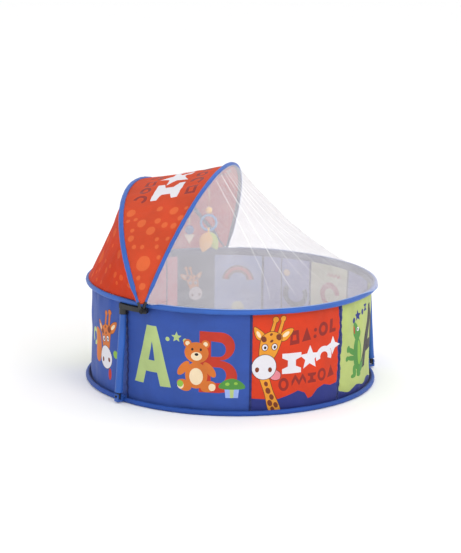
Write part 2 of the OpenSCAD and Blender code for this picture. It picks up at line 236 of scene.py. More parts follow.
def sheer(name, colour, gap_alpha, thread_alpha):
    """Knitted netting: crossing threads with clear holes between them."""
    g = Graph(name)
    where = g.where("UV")
    turned = g.add("ShaderNodeMapping", {"Vector": where, "Rotation": (0, 0, math.pi / 4)})
    thread = g.maths("MAXIMUM", *(g.bands(turned.outputs[0], 0.0016, way) for way in "XY"))
    soft = g.noise(where, 6.0, 3.0)
    alpha = g.span(thread, 0.6, 0.95, gap_alpha, thread_alpha)
    g.join(g.maths("MULTIPLY", alpha, g.span(soft, 0.3, 0.7, 0.88, 1.1)), "Alpha")
    g.join(g.blend(g.span(soft, 0.3, 0.7, 0.0, 1.0), colour, shade(colour, 0.94)), "Base Color")
    g.even("Roughness", 0.6)
    g.even("Sheen Weight", 0.3)
    g.bump(thread, 0.0002, 0.3)
    return g.material


BLUE = cloth("wall_blue", srgb(48, 80, 160))
NAVY = cloth("wall_navy", srgb(40, 50, 124))
ORANGE = cloth("wall_orange", srgb(206, 56, 20), sheen=0.02)
LIME = cloth("wall_lime", srgb(176, 190, 112))
PALE_GREEN = cloth("print_pale_green", srgb(176, 196, 128))
RED_PRINT = cloth("print_red", srgb(186, 52, 34))
DARK_RED = cloth("print_dark_red", srgb(142, 40, 32))
WHITE_PRINT = cloth("print_white", srgb(222, 220, 226), tone=0.04)
BLACK_PRINT = cloth("print_black", srgb(40, 34, 34))
GIRAFFE = cloth("print_amber", srgb(226, 150, 44))
GIRAFFE_ORANGE = cloth("print_tan", srgb(206, 112, 44))
BROWN = cloth("print_brown", srgb(120, 56, 32))
DARK_BROWN = cloth("print_dark_brown", srgb(74, 44, 30))
CREAM = cloth("print_cream", srgb(236, 214, 178), tone=0.05)
GREEN = cloth("print_green", srgb(78, 140, 62))
BRIGHT_GREEN = cloth("print_leaf_green", srgb(140, 184, 70))
PINK = cloth("print_pink", srgb(226, 134, 146))
SKY = cloth("print_sky", srgb(150, 172, 228))
VIOLET = cloth("print_violet", srgb(142, 150, 216))
MINT = cloth("print_mint", srgb(214, 226, 188))
CORAL = cloth("print_coral", srgb(206, 84, 64))
# A dark slate print colour; as the ground of the inside field at 383.5 to 399.5 degrees its darkness is also
# painted shade, for the canopy's shadow.
SLATE_PRINT_AND_SHADE = cloth("print_slate_and_painted_shade", srgb(58, 60, 82))
LINING_EDGE = cloth("lining_edge", srgb(52, 56, 92))
CANOPY = cloth("canopy_orange", srgb(232, 92, 56), tone=0.07, sheen=0.0, specular=0.2, glow=0.36)
# Painted shade: the back cloth and its spots are the same printed cloth as the front, given darker colours because
# the back faces away from the key lamp.
CANOPY_BACK_PAINTED_SHADE = cloth("canopy_back_orange_painted_shade", srgb(212, 66, 34), tone=0.08, sheen=0.0, specular=0.1,
                    glow=0.15)
SPOT_BACK_PAINTED_SHADE = cloth("canopy_back_spot_painted_shade", srgb(224, 92, 46), sheen=0.0, specular=0.1, glow=0.15)
SPOT = cloth("canopy_spot", srgb(240, 116, 66), tone=0.05, sheen=0.0, specular=0.2, glow=0.25)
BINDING = cloth("binding_blue", srgb(32, 90, 178), rough=0.5, sheen=0.08, specular=0.5)
# Painted shade: the lower hoop's tape is the same blue tape as the upper one, given a darker colour for the shade
# it sits in low down.
BINDING_LOW_PAINTED_SHADE = cloth("binding_blue_low_painted_shade", srgb(30, 74, 158), rough=0.55, sheen=0.05)
BINDING_DARK = cloth("binding_navy", srgb(34, 46, 104), rough=0.6, sheen=0.1)
FLOOR_CLOTH = cloth("floor_cloth", srgb(34, 44, 104), rough=0.7)
MAT_CLOTH = cloth("mat_cloth", srgb(226, 214, 190), rough=0.8, period=0.0016, sheen=0.4)
PIPING = cloth("mat_piping", srgb(60, 110, 190), rough=0.6)
NET = sheer("net_mesh", srgb(250, 248, 255), 0.20, 0.56)
NET_FOLD = sheer("net_fold", srgb(255, 255, 255), 0.50, 0.84)
# The net's hem band along the top of the upper hoop: a real tape, given a pale blue that is a painted highlight
# along the hoop's top.
HEM_PAINTED_HIGHLIGHT = cloth("net_hem", srgb(140, 168, 220), tone=0.04)
BLACK_PLASTIC = plastic("black_plastic", srgb(30, 30, 31))
BLUE_PLASTIC = plastic("blue_plastic", srgb(40, 84, 164))
ROD = plastic("fibre_rod", srgb(206, 200, 180), rough=0.3)
STEEL = metal("spring_steel", srgb(170, 170, 174))
PINS = metal("dark_pins", srgb(52, 52, 54), rough=0.45)
ALLOY = metal("strut_alloy", srgb(196, 198, 202), rough=0.36)
RIBBON = cloth("toy_ribbon", srgb(214, 206, 120), period=0.0007)
BEAD = plastic("toy_bead", srgb(254, 200, 0), rough=0.3)
RING_BLUE = plastic("toy_ring_blue", srgb(76, 146, 214), rough=0.28)
LEAF_GOLD = cloth("toy_leaf_gold", srgb(255, 186, 0), sheen=0.1, period=0.0014)
LEAF_GREEN = cloth("toy_leaf_green", srgb(186, 206, 18), sheen=0.1, period=0.0014)
TUFT = cloth("toy_tuft", srgb(26, 88, 182), sheen=0.1)
PENNANT = cloth("toy_pennant", srgb(226, 208, 178), sheen=0.5)


# ---- mesh helpers ----
def waves(count, low, high, seed):
    """A smooth made-up height over (x, y) metres: a sum of sines, low to high per metre."""
    draw = np.random.default_rng(seed)
    k = draw.uniform(low, high, count) * 2 * math.pi
    way = draw.uniform(0, 2 * math.pi, count)
    phase = draw.uniform(0, 2 * math.pi, count)
    size = draw.uniform(0.5, 1.0, count) / math.sqrt(count)

    def height(x, y):
        x, y = np.asarray(x)[..., None], np.asarray(y)[..., None]
        return (np.sin(k * (x * np.cos(way) + y * np.sin(way)) + phase) * size).sum(-1)
    return height


def mesh_piece(name, points, faces, materials, uv=None, which=None):
    mesh = bpy.data.meshes.new(name)
    mesh.from_pydata([tuple(map(float, p)) for p in points], [], faces)
    for m in materials:
        mesh.materials.append(m)
    if which is not None:
        mesh.polygons.foreach_set("material_index", np.asarray(which, np.int32))
    mesh.polygons.foreach_set("use_smooth", [True] * len(mesh.polygons))
    if uv is not None:
        layer = mesh.uv_layers.new(name="UVMap")
        corner = np.zeros(len(mesh.loops), np.int32)
        mesh.loops.foreach_get("vertex_index", corner)
        layer.data.foreach_set("uv", np.asarray(uv, float)[corner].ravel())
    mesh.validate()
    mesh.update()
    piece = bpy.data.objects.new(name, mesh)
    bpy.context.collection.objects.link(piece)
    return piece


def grid_piece(name, rows, material, closed=(False, False), flip=False):
    """A mesh over rows[i, j] of points; closed says whether i and j wrap round."""
    n, m = rows.shape[:2]
    ni, mj = n if closed[0] else n - 1, m if closed[1] else m - 1
    at = lambda i, j: (i % n) * m + j % m
    faces = [(at(i, j), at(i + 1, j), at(i + 1, j + 1), at(i, j + 1))
             for i in range(ni) for j in range(mj)]
    if flip:
        faces = [f[::-1] for f in faces]
    along = np.linalg.norm(np.diff(rows, axis=0), axis=2).mean(1)
    across = np.linalg.norm(np.diff(rows, axis=1), axis=2).mean(0)
    u = np.concatenate([[0], np.cumsum(along)])
    v = np.concatenate([[0], np.cumsum(across)])
    uv = np.stack(np.meshgrid(u, v, indexing="ij"), -1).reshape(-1, 2)
    return mesh_piece(name, rows.reshape(-1, 3), faces, [material], uv)


def uv_points(piece):
    mesh = piece.data
    uv = np.zeros((len(mesh.vertices), 2))
    for loop in mesh.loops:
        uv[loop.vertex_index] = mesh.uv_layers[0].data[loop.index].uv
    return uv


def placed(at, points):
    """The points, put through the matrix at."""
    return np.array([at @ Vector(p) for p in points.reshape(-1, 3)]).reshape(points.shape)


def sweep(name, path, section, sides, material, closed=False):
    """A tube: section[j] = (a, b) offsets laid along sides = (A, B) at each path point."""
    first, second = sides
    rows = (path[:, None, :] + first[:, None, :] * section[:, :, 0:1]
            + second[:, None, :] * section[:, :, 1:2])
    piece = grid_piece(name, rows, material, (closed, True))
    if not closed:
        count = section.shape[1]
        mesh = piece.data
        bpy.context.view_layer.update()
        loops = [list(range(count)), [len(mesh.vertices) - 1 - k for k in range(count)]]
        faces = [tuple(p.vertices) for p in mesh.polygons] + [tuple(x) for x in loops]
        uv = uv_points(piece)
        points = [tuple(v.co) for v in mesh.vertices]
        bpy.data.objects.remove(piece)
        bpy.data.meshes.remove(mesh)
        piece = mesh_piece(name, points, faces, [material], uv)
    return piece


def ellipse(a, b, count=16, power=1.0):
    t = np.linspace(0, 2 * math.pi, count, endpoint=False)
    c, s = np.cos(t), np.sin(t)
    return np.stack([a * np.sign(c) * abs(c) ** power, b * np.sign(s) * abs(s) ** power], -1)


def solidify(piece, thick, offset=0.0):
    m = piece.modifiers.new("thickness", "SOLIDIFY")
    m.thickness = thick
    m.offset = offset
    return piece


def polar(r, degrees, z):
    a = np.radians(degrees)
    r, a, z = np.broadcast_arrays(r, a, z)
    return np.stack([r * np.cos(a), r * np.sin(a), z], -1)


# ---- printed sheets ----
def inside(outline, points):
    """Which points lie inside a closed outline."""
    x, y = points[:, 0:1], points[:, 1:2]
    a, b = np.asarray(outline), np.roll(outline, -1, axis=0)
    crosses = (a[:, 1] > y) != (b[:, 1] > y)
    rise = np.where(abs(b[:, 1] - a[:, 1]) < 1e-12, 1e-12, b[:, 1] - a[:, 1])
    hit = x < (b[:, 0] - a[:, 0]) * (y - a[:, 1]) / rise + a[:, 0]
    return (crosses & hit).sum(1) % 2 == 1


def finer(outline, step):
    """The same outline with points no further apart than step."""
    out = []
    outline = np.asarray(outline, float)
    for a, b in zip(outline, np.roll(outline, -1, axis=0)):
        n = max(1, int(np.linalg.norm(b - a) / step + 0.5))
        out += [a + (b - a) * k / n for k in range(n)]
    return np.array(out)


def printed(name, outline, shapes, base, place, step=0.010, thick=0.0, uv_of=None):
    """One sheet in one mesh, with each printed shape its own run of faces and its own material.
    outline and shapes are on the flat sheet; place puts flat points in the frame."""
    materials = [base]
    loops = [finer(outline, step)] + [finer(s[0], step * 0.8) for s in shapes]
    low, high = loops[0].min(0), loops[0].max(0)
    gx, gy = (np.arange(low[k] + step * 0.6, high[k] - step * 0.3, step) for k in (0, 1))
    net = np.stack(np.meshgrid(gx, gy, indexing="ij"), -1).reshape(-1, 2)
    net = net[inside(loops[0], net)]
    keep = np.ones(len(net), bool)
    for loop in loops:
        for chunk in range(0, len(net), 4000):
            gap = np.linalg.norm(net[chunk:chunk + 4000, None] - loop[None], axis=2).min(1)
            keep[chunk:chunk + 4000] &= gap > step * 0.45
    net = net[keep]
    points, edges = [], []
    for loop in loops:
        start = len(points)
        points += [Vector(p) for p in loop]
        edges += [(start + k, start + (k + 1) % len(loop)) for k in range(len(loop))]
    points += [Vector(p) for p in net]
    found, _, faces, *_ = delaunay_2d_cdt(points, edges, [], 1, 1e-6)
    flat = np.array([tuple(p) for p in found])
    centre = np.array([flat[list(f)].mean(0) for f in faces])
    which = np.zeros(len(faces), int)
    for loop, (_, material) in zip(loops[1:], shapes):
        if material not in materials:
            materials.append(material)
        which[inside(loop, centre)] = materials.index(material)
    in_sheet = inside(loops[0], centre)
    faces = [f for f, k in zip(faces, in_sheet) if k]
    piece = mesh_piece(name, place(flat[:, 0], flat[:, 1]), faces, materials,
                       flat if uv_of is None else uv_of(flat), which[in_sheet])
    if thick:
        solidify(piece, thick)
    return piece


def smooth_loop(points, per=6):
    """A closed Catmull-Rom curve through given points."""
    p = np.asarray(points, float)
    out = []
    for k in range(len(p)):
        a, b, c, d = p[k - 1], p[k], p[(k + 1) % len(p)], p[(k + 2) % len(p)]
        for s in np.arange(per) / per:
            out.append(0.5 * (2 * b + (c - a) * s + (2 * a - 5 * b + 4 * c - d) * s * s
                              + (3 * b - a - 3 * c + d) * s ** 3))
    return np.array(out)


def oval(x, y, a, b=None, turn=0.0, count=20):
    t = np.linspace(0, 2 * math.pi, count, endpoint=False)
    b = a if b is None else b
    c, s = math.cos(math.radians(turn)), math.sin(math.radians(turn))
    px, py = a * np.cos(t), b * np.sin(t)
    return np.stack([x + px * c - py * s, y + px * s + py * c], -1)


def star(x, y, outer, inner, tips=5, turn=90.0):
    t = np.radians(turn) + np.arange(2 * tips) * math.pi / tips
    r = np.where(np.arange(2 * tips) % 2, inner, outer)
    return np.stack([x + r * np.cos(t), y + r * np.sin(t)], -1)


def moved(shapes, x, y, size=1.0, turn=0.0, flip=False):
    """Shapes drawn about their own origin, put at (x, y)."""
    c, s = math.cos(math.radians(turn)), math.sin(math.radians(turn))
    out = []
    for loop, material in shapes:
        p = np.asarray(loop) * size
        if flip:
            p = p * (-1, 1)
        out.append((np.stack([x + p[:, 0] * c - p[:, 1] * s, y + p[:, 0] * s + p[:, 1] * c], -1),
                    material))
    return out


def letter_a(fill, ground, w=0.16, h=0.218, leg=0.042):
    """A plain capital A with a flat top, about its centre."""
    top, bar = 0.041, 0.048
    x, y = w / 2, h / 2
    slope = (x - top / 2) / h
    inner = lambda level: x - leg - slope * (level + y)
    outer = [(-top / 2, y), (top / 2, y), (x, -y), (x - leg, -y), (inner(-y + bar), -y + bar),
             (-inner(-y + bar), -y + bar), (-x + leg, -y), (-x, -y)]
    hole = [(0, y - 0.058), (-inner(-y + bar + 0.042), -y + bar + 0.042),
            (inner(-y + bar + 0.042), -y + bar + 0.042)]
    return [(outer, fill), (hole, ground)]


def letter_b(fill, ground):
    """A plain capital B about its centre."""
    x, y = 0.135 / 2, 0.222 / 2
    bow = lambda cx, cy, r, k: [(cx + r * k * math.cos(t), cy + r * math.sin(t))
                                for t in np.linspace(math.pi / 2, -math.pi / 2, 12)]
    outer = ([(-x, -y), (-x, y)] + bow(0.006, y * 0.53, y * 0.47, 1.02)
             + bow(0.004, -y * 0.47, y * 0.53, 1.10))
    holes = [[(-x + 0.042, y - 0.034), (-x + 0.042, 0.020)] + bow(0.004, 0.047, 0.027, 0.85)[::-1],
             [(-x + 0.042, -0.018), (-x + 0.042, -y + 0.036)]
             + bow(0.004, -0.047, 0.028, 0.9)[::-1]]
    return [(outer, fill)] + [(hole, ground) for hole in holes]


def edged(shapes):
    """The same shapes, each over a slightly larger dark copy of itself."""
    edge = 0.0020
    out = []
    for loop, _ in shapes:
        loop = np.asarray(loop, float)
        before, after = np.roll(loop, 1, axis=0), np.roll(loop, -1, axis=0)
        way = after - before
        side = np.stack([way[:, 1], -way[:, 0]], -1)
        side /= np.maximum(np.linalg.norm(side, axis=1, keepdims=True), 1e-9)
        area = (loop[:, 0] * after[:, 1] - after[:, 0] * loop[:, 1]).sum()
        out.append((loop + side * edge * (1 if area > 0 else -1), DARK_BROWN))
    return out + list(shapes)


def giraffe(body, spots, tall=True):
    """A friendly long-necked animal with its head to one side, about its muzzle's middle."""
    out = []
    if tall:
        out += edged([(smooth_loop([(-0.018, -0.030), (0.012, -0.030), (0.034, -0.090),
                                    (0.063, -0.164), (0.022, -0.164), (0.004, -0.100)]), body)])
        for x, y, r in ((0.008, -0.062, 0.007), (0.016, -0.088, 0.009), (0.030, -0.112, 0.008),
                        (0.024, -0.134, 0.009), (0.046, -0.142, 0.008), (0.034, -0.156, 0.007)):
            out.append((oval(x, y, r, r * 1.4, 25, 12), spots))
    left = smooth_loop([(-0.008, 0.098), (-0.030, 0.108), (-0.039, 0.146), (-0.020, 0.138),
                        (0.002, 0.116)], 4)
    right = smooth_loop([(0.058, 0.092), (0.084, 0.096), (0.109, 0.131), (0.080, 0.132),
                         (0.056, 0.112)], 4)
    out += edged([(left, body), (right, body)])
    out += [(oval(-0.022, 0.120, 0.006, 0.014, 30, 12), CREAM),
            (oval(0.080, 0.115, 0.015, 0.007, 32, 12), CREAM)]
    out += edged([([(0.017, 0.116), (0.029, 0.114), (0.044, 0.168), (0.034, 0.170)], body),
                  ([(0.046, 0.114), (0.058, 0.116), (0.073, 0.170), (0.062, 0.172)], body),
                  (oval(0.040, 0.171, 0.0105, count=14), body),
                  (oval(0.068, 0.173, 0.0105, count=14), body)])
    out += edged([(smooth_loop([(-0.016, 0.030), (-0.014, 0.098), (0.000, 0.118), (0.026, 0.128),
                                (0.054, 0.118), (0.064, 0.096), (0.034, 0.030)]), body)])
    for x, y, r, k in ((-0.003, 0.102, 0.010, 1.2), (0.053, 0.106, 0.010, 1.3),
                       (0.024, 0.118, 0.006, 0.8), (0.026, 0.094, 0.007, 0.7)):
        out.append((oval(x, y, r, r * k, 30, 8), spots))
    for x in (0.001, 0.037):
        out += [(oval(x, 0.072, 0.0125, 0.0135, count=16), spots),
                (oval(x, 0.072, 0.0098, 0.0108, count=14), WHITE_PRINT),
                (oval(x + 0.001, 0.071, 0.0048, 0.0056, count=10), BLACK_PRINT)]
    out += edged([(oval(0.0, 0.0, 0.045, 0.045, count=28), WHITE_PRINT)])
    out += [(oval(-0.026, -0.008, 0.0075, 0.0095, -10, 12), BROWN),
            (oval(0.022, -0.011, 0.0075, 0.0095, 10, 12), BROWN)]
    return out


def teddy():
    """A sitting toy bear, about its tummy."""
    out = []
    for side in (-1, 1):
        out += [(oval(side * 0.046, -0.060, 0.030, 0.021, side * 20), GIRAFFE_ORANGE),
                (oval(side * 0.060, -0.062, 0.013, 0.014), CREAM),
                (oval(side * 0.050, 0.004, 0.015, 0.034, side * 38), GIRAFFE_ORANGE),
                (oval(side * 0.034, 0.100, 0.0155), GIRAFFE_ORANGE),
                (oval(side * 0.034, 0.100, 0.0085), CREAM)]
    out += [(oval(0, -0.020, 0.043, 0.050), GIRAFFE_ORANGE), (oval(0, -0.024, 0.026, 0.032), CREAM),
            (oval(0, 0.066, 0.046, 0.040), GIRAFFE_ORANGE), (oval(0, 0.052, 0.021, 0.016), CREAM),
            (oval(0, 0.059, 0.0075, 0.0055, count=12), BLACK_PRINT)]
    for side in (-1, 1):
        out.append((oval(side * 0.016, 0.078, 0.0045, 0.0055, count=10), BLACK_PRINT))
    return out


def lizard():
    """An upright green lizard seen from the side, about its middle."""
    return [(smooth_loop([(0.036, -0.040), (0.060, -0.062), (0.074, -0.040), (0.072, -0.086),
                          (0.040, -0.092)], 5), GREEN),
            (oval(0.022, -0.018, 0.030, 0.064, 8), GREEN),
            (oval(-0.020, -0.004, 0.034, 0.0105, -28), GREEN),
            (oval(-0.018, -0.030, 0.032, 0.0095, -12), GREEN),
            (oval(-0.048, 0.010, 0.012, 0.014, 10), GREEN),
            (oval(-0.050, -0.026, 0.012, 0.010, 10), GREEN),
            (oval(0.006, -0.084, 0.013, 0.024, 12), GREEN),
            (oval(0.036, -0.084, 0.013, 0.024, -8), GREEN),
            (oval(-0.004, -0.100, 0.018, 0.008), GREEN), (oval(0.040, -0.102, 0.017, 0.008), GREEN),
            (oval(0.018, 0.056, 0.025, 0.024), GREEN),
            (smooth_loop([(-0.008, 0.050), (-0.012, 0.094), (0.002, 0.102), (0.024, 0.078)], 5),
             GREEN),
            (oval(-0.006, 0.074, 0.005, 0.017, 12, 12), RED_PRINT),
            (oval(0.034, -0.018, 0.012, 0.048, 8), BRIGHT_GREEN),
            (oval(0.024, 0.072, 0.008, count=12), WHITE_PRINT),
            (oval(0.023, 0.072, 0.0036, count=8), BLACK_PRINT)]


def toadstool():
    return [([(-0.022, -0.036), (0.022, -0.036), (0.026, 0.0), (-0.026, 0.0)], SKY),
            ([(-0.006, -0.036), (0.006, -0.036), (0.008, 0.0), (-0.008, 0.0)], PALE_GREEN),
            (smooth_loop([(-0.046, 0.0), (-0.034, 0.022), (0.0, 0.034), (0.034, 0.022),
                          (0.046, 0.0), (0.0, -0.006)], 5), GREEN),
            (oval(-0.016, 0.014, 0.008, 0.006, count=12), BRIGHT_GREEN),
            (oval(0.014, 0.016, 0.007, 0.005, count=12), BRIGHT_GREEN)]


def zigzag(x, y, w, h, teeth, thick):
    """A band of even zigzag."""
    xs = np.linspace(x, x + w, 2 * teeth + 1)
    ys = y + np.where(np.arange(2 * teeth + 1) % 2, h, 0.0)
    return np.concatenate([np.stack([xs, ys + thick], -1), np.stack([xs, ys], -1)[::-1]])


def spool(x, y, r, waist):
    """A chunky thread-spool shape: two bars with a waist between."""
    half = [(-r, -r), (r, -r), (r, -r * 0.55), (waist, -r * 0.30), (waist, r * 0.30), (r, r * 0.55)]
    return [(x + a, y + b) for a, b in half + [(-a, -b) for a, b in half]]


def arch_band(x, y, outer, inner, sweep_from=0, sweep_to=180):
    t = np.radians(np.linspace(sweep_from, sweep_to, 18))
    return np.concatenate([np.stack([x + outer * np.cos(t), y + outer * np.sin(t)], -1),
                           np.stack([x + inner * np.cos(t), y + inner * np.sin(t)], -1)[::-1]])


# ---- wall ----
large = waves(9, 3.0, 9.0, 3)
fine = waves(8, 9.0, 20.0, 5)
top_gathers = waves(10, 16.0, 34.0, 8)
low_gathers = waves(10, 14.0, 30.0, 9)


def wall_height_free(z):
    """How far a point of the wall is from being held: 0 at both hoops, 1 between."""
    s = np.clip((z - WALL_Z0) / (WALL_Z1 - WALL_Z0), 0, 1)
    return np.clip(np.minimum(s, 1 - s) * 14, 0, 1)


def wall_point(r, degrees, z):
    """A point of the wall cloth: gathered at the hoops, with shallow folds between."""
    around = np.radians(degrees) * WALL_R
    top = np.exp(-(WALL_Z1 - z) / 0.060)
    low = np.exp(-(z - WALL_Z0) / 0.040)
    out = 0.0030 * large(around, z * 0.8) + 0.0010 * fine(around, z * 0.7)
    out = out + 0.0032 * top * top_gathers(around, z * 0.12)
    out = out + 0.0026 * low * low_gathers(around, z * 0.12)
    near = np.min([abs(degrees - s) for s in SEAMS + [SEAMS[0] - 360]], axis=0) * math.pi / 180
    pucker = np.exp(-near * WALL_R / 0.022) * np.sin(z * 2 * math.pi / 0.031 + near * 40)
    out = out + 0.0018 * pucker
    return polar(r + out * wall_height_free(z), degrees, z)


def wall_sheet(name, r, first, last, shapes, base, nodes):
    width = math.radians(last - first) * WALL_R
    outline = [(0, WALL_Z0), (width, WALL_Z0), (width, WALL_Z1), (0, WALL_Z1)]
    place = lambda u, v: wall_point(r, first + np.degrees(u / WALL_R), v)
    piece = printed(name, outline, shapes, base, place, thick=0.0007)
    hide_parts(*nodes)
    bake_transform(piece)
    return piece


def wavy(x0, x1, y, amp, period, phase=0.0):
    xs = np.linspace(x0, x1, int(abs(x1 - x0) / 0.012) + 2)
    return np.stack([xs, y + amp * np.sin(2 * math.pi * (xs - x0) / period + phase)], -1)


def ground(width, margin, low, high, material, amp, phase=0.0):
    """A printed field with wavy sides and a wavy lower edge, inside a darker border."""
    bottom = wavy(margin, width - margin, low, amp, 0.13, phase)
    right = wavy(low, high, 0, amp * 0.45, 0.12, phase + 1)[:, ::-1] + (width - margin, 0)
    left = wavy(low, high, 0, amp * 0.45, 0.12, phase + 2)[::-1, ::-1] + (margin, 0)
    return [(np.concatenate([bottom, right[1:], left[:-1]]), material)]


def panel_shapes(k, width):
    """The outside prints, panel by panel, from the side strut round towards the entry."""
    mid = width / 2
    if k == 0:
        return (moved(letter_a(PALE_GREEN, BLUE), 0.113, 0.193)
                + moved(letter_b(RED_PRINT, BLUE), 0.366, 0.190)
                + [(star(0.214, 0.272, 0.020, 0.009), PALE_GREEN),
                   (oval(0.180, 0.262, 0.008), PALE_GREEN), (oval(0.246, 0.262, 0.008), PALE_GREEN)]
                + moved(teddy(), 0.288, 0.158, 0.96) + [(oval(0.229, 0.104, 0.012), BRIGHT_GREEN)]
                + moved(toadstool(), 0.416, 0.098))
    if k == 1:
        low_edge = [(0.0, 0.060), (0.060, 0.054), (0.100, 0.052), (0.140, 0.066), (0.176, 0.078),
                    (0.206, 0.066), (0.222, 0.042), (0.238, 0.046), (0.262, 0.072),
                    (0.292, 0.084), (0.324, 0.076), (0.352, 0.080)]
        side = [(width - 0.012, 0.080), (width - 0.006, 0.150), (width - 0.012, 0.220),
                (width - 0.005, 0.290), (width - 0.010, 0.372)]
        field = low_edge + side + [(0.0, 0.372)]
        marks = [([(0.142, 0.246), (0.180, 0.250), (0.176, 0.300), (0.146, 0.296)], DARK_RED),
                 ([(0.152, 0.262), (0.168, 0.264), (0.166, 0.284), (0.154, 0.282)], ORANGE),
                 ([(0.190, 0.254), (0.230, 0.258), (0.211, 0.306)], DARK_RED),
                 (oval(0.246, 0.268, 0.007), DARK_RED), (oval(0.247, 0.292, 0.007), DARK_RED),
                 (oval(0.284, 0.290, 0.022, 0.026), DARK_RED),
                 (oval(0.284, 0.290, 0.010, 0.013), ORANGE),
                 ([(0.314, 0.270), (0.344, 0.273), (0.343, 0.286), (0.329, 0.285), (0.330, 0.322),
                   (0.316, 0.320)], DARK_RED)]
        marks += [(spool(0.152, 0.180, 0.037, 0.016), WHITE_PRINT),
                  (star(0.226, 0.192, 0.046, 0.021), WHITE_PRINT),
                  (arch_band(0.290, 0.188, 0.038, 0.018, -20, 200), WHITE_PRINT),
                  (star(0.333, 0.222, 0.034, 0.015, 4), WHITE_PRINT),
                  (oval(0.120, 0.105, 0.019, 0.024), DARK_RED),
                  (oval(0.120, 0.105, 0.009, 0.013), ORANGE),
                  (zigzag(0.150, 0.096, 0.062, 0.024, 2, 0.018), DARK_RED),
                  (spool(0.238, 0.116, 0.018, 0.007), DARK_RED),
                  (oval(0.282, 0.122, 0.019, 0.024), DARK_RED),
                  (oval(0.282, 0.122, 0.009, 0.013), ORANGE),
                  ([(0.308, 0.106), (0.342, 0.112), (0.325, 0.152)], DARK_RED)]
        return ([(field, ORANGE)] + marks
                + edged([(smooth_loop([(0.062, 0.148), (0.086, 0.160), (0.108, 0.146),
                                       (0.104, 0.126), (0.078, 0.126)], 5), PINK)])
                + moved(giraffe(GIRAFFE, BROWN), 0.047, 0.173, 1.0))
    if k == 2:
        return (ground(width, 0.007, 0.034, 0.368, LIME, 0.007, 2.0)
                + moved(letter_a(BLACK_PRINT, LIME, 0.26, 0.226, 0.072), 0.274, 0.205)
                + [(star(0.128, 0.300, 0.022, 0.010), NAVY), (oval(0.164, 0.308, 0.011), NAVY),
                   (oval(0.096, 0.288, 0.011), NAVY), (spool(0.196, 0.318, 0.013, 0.005), NAVY)]
                + moved(lizard(), 0.104, 0.178, 1.0))
    if k == 3:
        return (star_field(width)
                + moved(giraffe(GIRAFFE_ORANGE, BROWN), mid, 0.176, 0.9, flip=True))
    if k == 4:
        return (ground(width, 0.010, 0.056, 0.366, ORANGE, 0.012, 1.0)
                + moved(teddy(), mid - 0.10, 0.170, 1.1)
                + [(spool(mid + 0.10, 0.250, 0.034, 0.012), WHITE_PRINT),
                   (zigzag(mid + 0.03, 0.130, 0.150, 0.026, 4, 0.020), DARK_RED)])
    if k == 5:
        return (ground(width, 0.016, 0.034, 0.366, LIME, 0.009, 0.5)
                + moved(lizard(), mid - 0.12, 0.176, flip=True)
                + moved(letter_b(BLACK_PRINT, LIME), mid + 0.10, 0.186))
    return ([(arch_band(0.222, 0.187, 0.034, 0.018, -100, 230), PALE_GREEN),
             (smooth_loop([(0.246, 0.222), (0.290, 0.216), (0.300, 0.150), (0.286, 0.104),
                           (0.250, 0.120)], 5), GIRAFFE_ORANGE),
             (oval(0.412, 0.158, 0.015), BRIGHT_GREEN),
             (oval(0.372, 0.076, 0.011, 0.022), RED_PRINT)]
            + moved(giraffe(GIRAFFE_ORANGE, BROWN, False), 0.342, 0.134, 0.95, turn=12))


def star_field(width):
    draw = np.random.default_rng(4)
    out = []
    for x in np.arange(0.045, width - 0.03, 0.078):
        y = 0.31 + draw.uniform(-0.02, 0.02)
        out.append((star(x, y, 0.014, 0.006, 5, draw.uniform(0, 72)), PALE_GREEN))
    return out


PANEL_GROUND = [BLUE, NAVY, NAVY, BLUE, NAVY, NAVY, BLUE]
SEAM_GAP = 0.12


def panel_span(k):
    """A panel's first and last angle in degrees, and its width."""
    first, last = SEAMS[k] + SEAM_GAP, SEAMS[k + 1] - SEAM_GAP
    return first, last, math.radians(last - first) * WALL_R


for k in range(7):
    first, last, width = panel_span(k)
    wall_sheet(f"wall_print_{k + 1}", WALL_R, first, last, panel_shapes(k, width),
               PANEL_GROUND[k], [f"wall_panel_{k + 1}"])

# The inside prints: sixteen fields of colour, each with a picture, seen from within. The dark slate field from
# 383.5 to 399.5 degrees is partly painted shade, for the canopy's shadow there.
ZONES = [157.0, 179.5, 202.0, 224.5, 247.0, 269.5, 292.0, 315.0, 338.5, 361.5, 383.5, 399.5,
         428.5, 451.0, 473.5, 496.0, 517.0]
ZONE_TONES = [PINK, LIME, SKY, CORAL, VIOLET, LIME, VIOLET, MINT, VIOLET, SKY, SLATE_PRINT_AND_SHADE, PINK,
              CORAL, PINK, SKY, PINK]


def zone_picture(index, x):
    """The picture of one inside field, about the line x."""
    pictures = {
        6: [(star(x, 0.220, 0.036, 0.017, 6), RED_PRINT), (oval(x, 0.130, 0.030, 0.018), NAVY)],
        7: [(arch_band(x, 0.236, 0.054, 0.030, -70, 170), RED_PRINT),
            (oval(x + 0.006, 0.140, 0.017), RED_PRINT),
            (zigzag(x - 0.060, 0.310, 0.080, 0.012, 4, 0.007), RED_PRINT)],
        8: [(arch_band(x, 0.215, 0.056, 0.034, 150, 400), SLATE_PRINT_AND_SHADE),
            (oval(x - 0.010, 0.150, 0.034, 0.018), NAVY), (oval(x + 0.040, 0.300, 0.014), CREAM)],
        9: [(arch_band(x, 0.250, 0.066, 0.036, 8, 172), BROWN),
            (arch_band(x, 0.250, 0.059, 0.046, 8, 172), CORAL), (oval(x, 0.140, 0.026), MINT)],
        10: moved(giraffe(GIRAFFE, BROWN, False), x, 0.200, 0.62),
    }
    return pictures.get(index, [(star(x, 0.240, 0.040, 0.020, 4 + index % 3), CREAM),
                                (spool(x, 0.130, 0.030, 0.011), NAVY)])


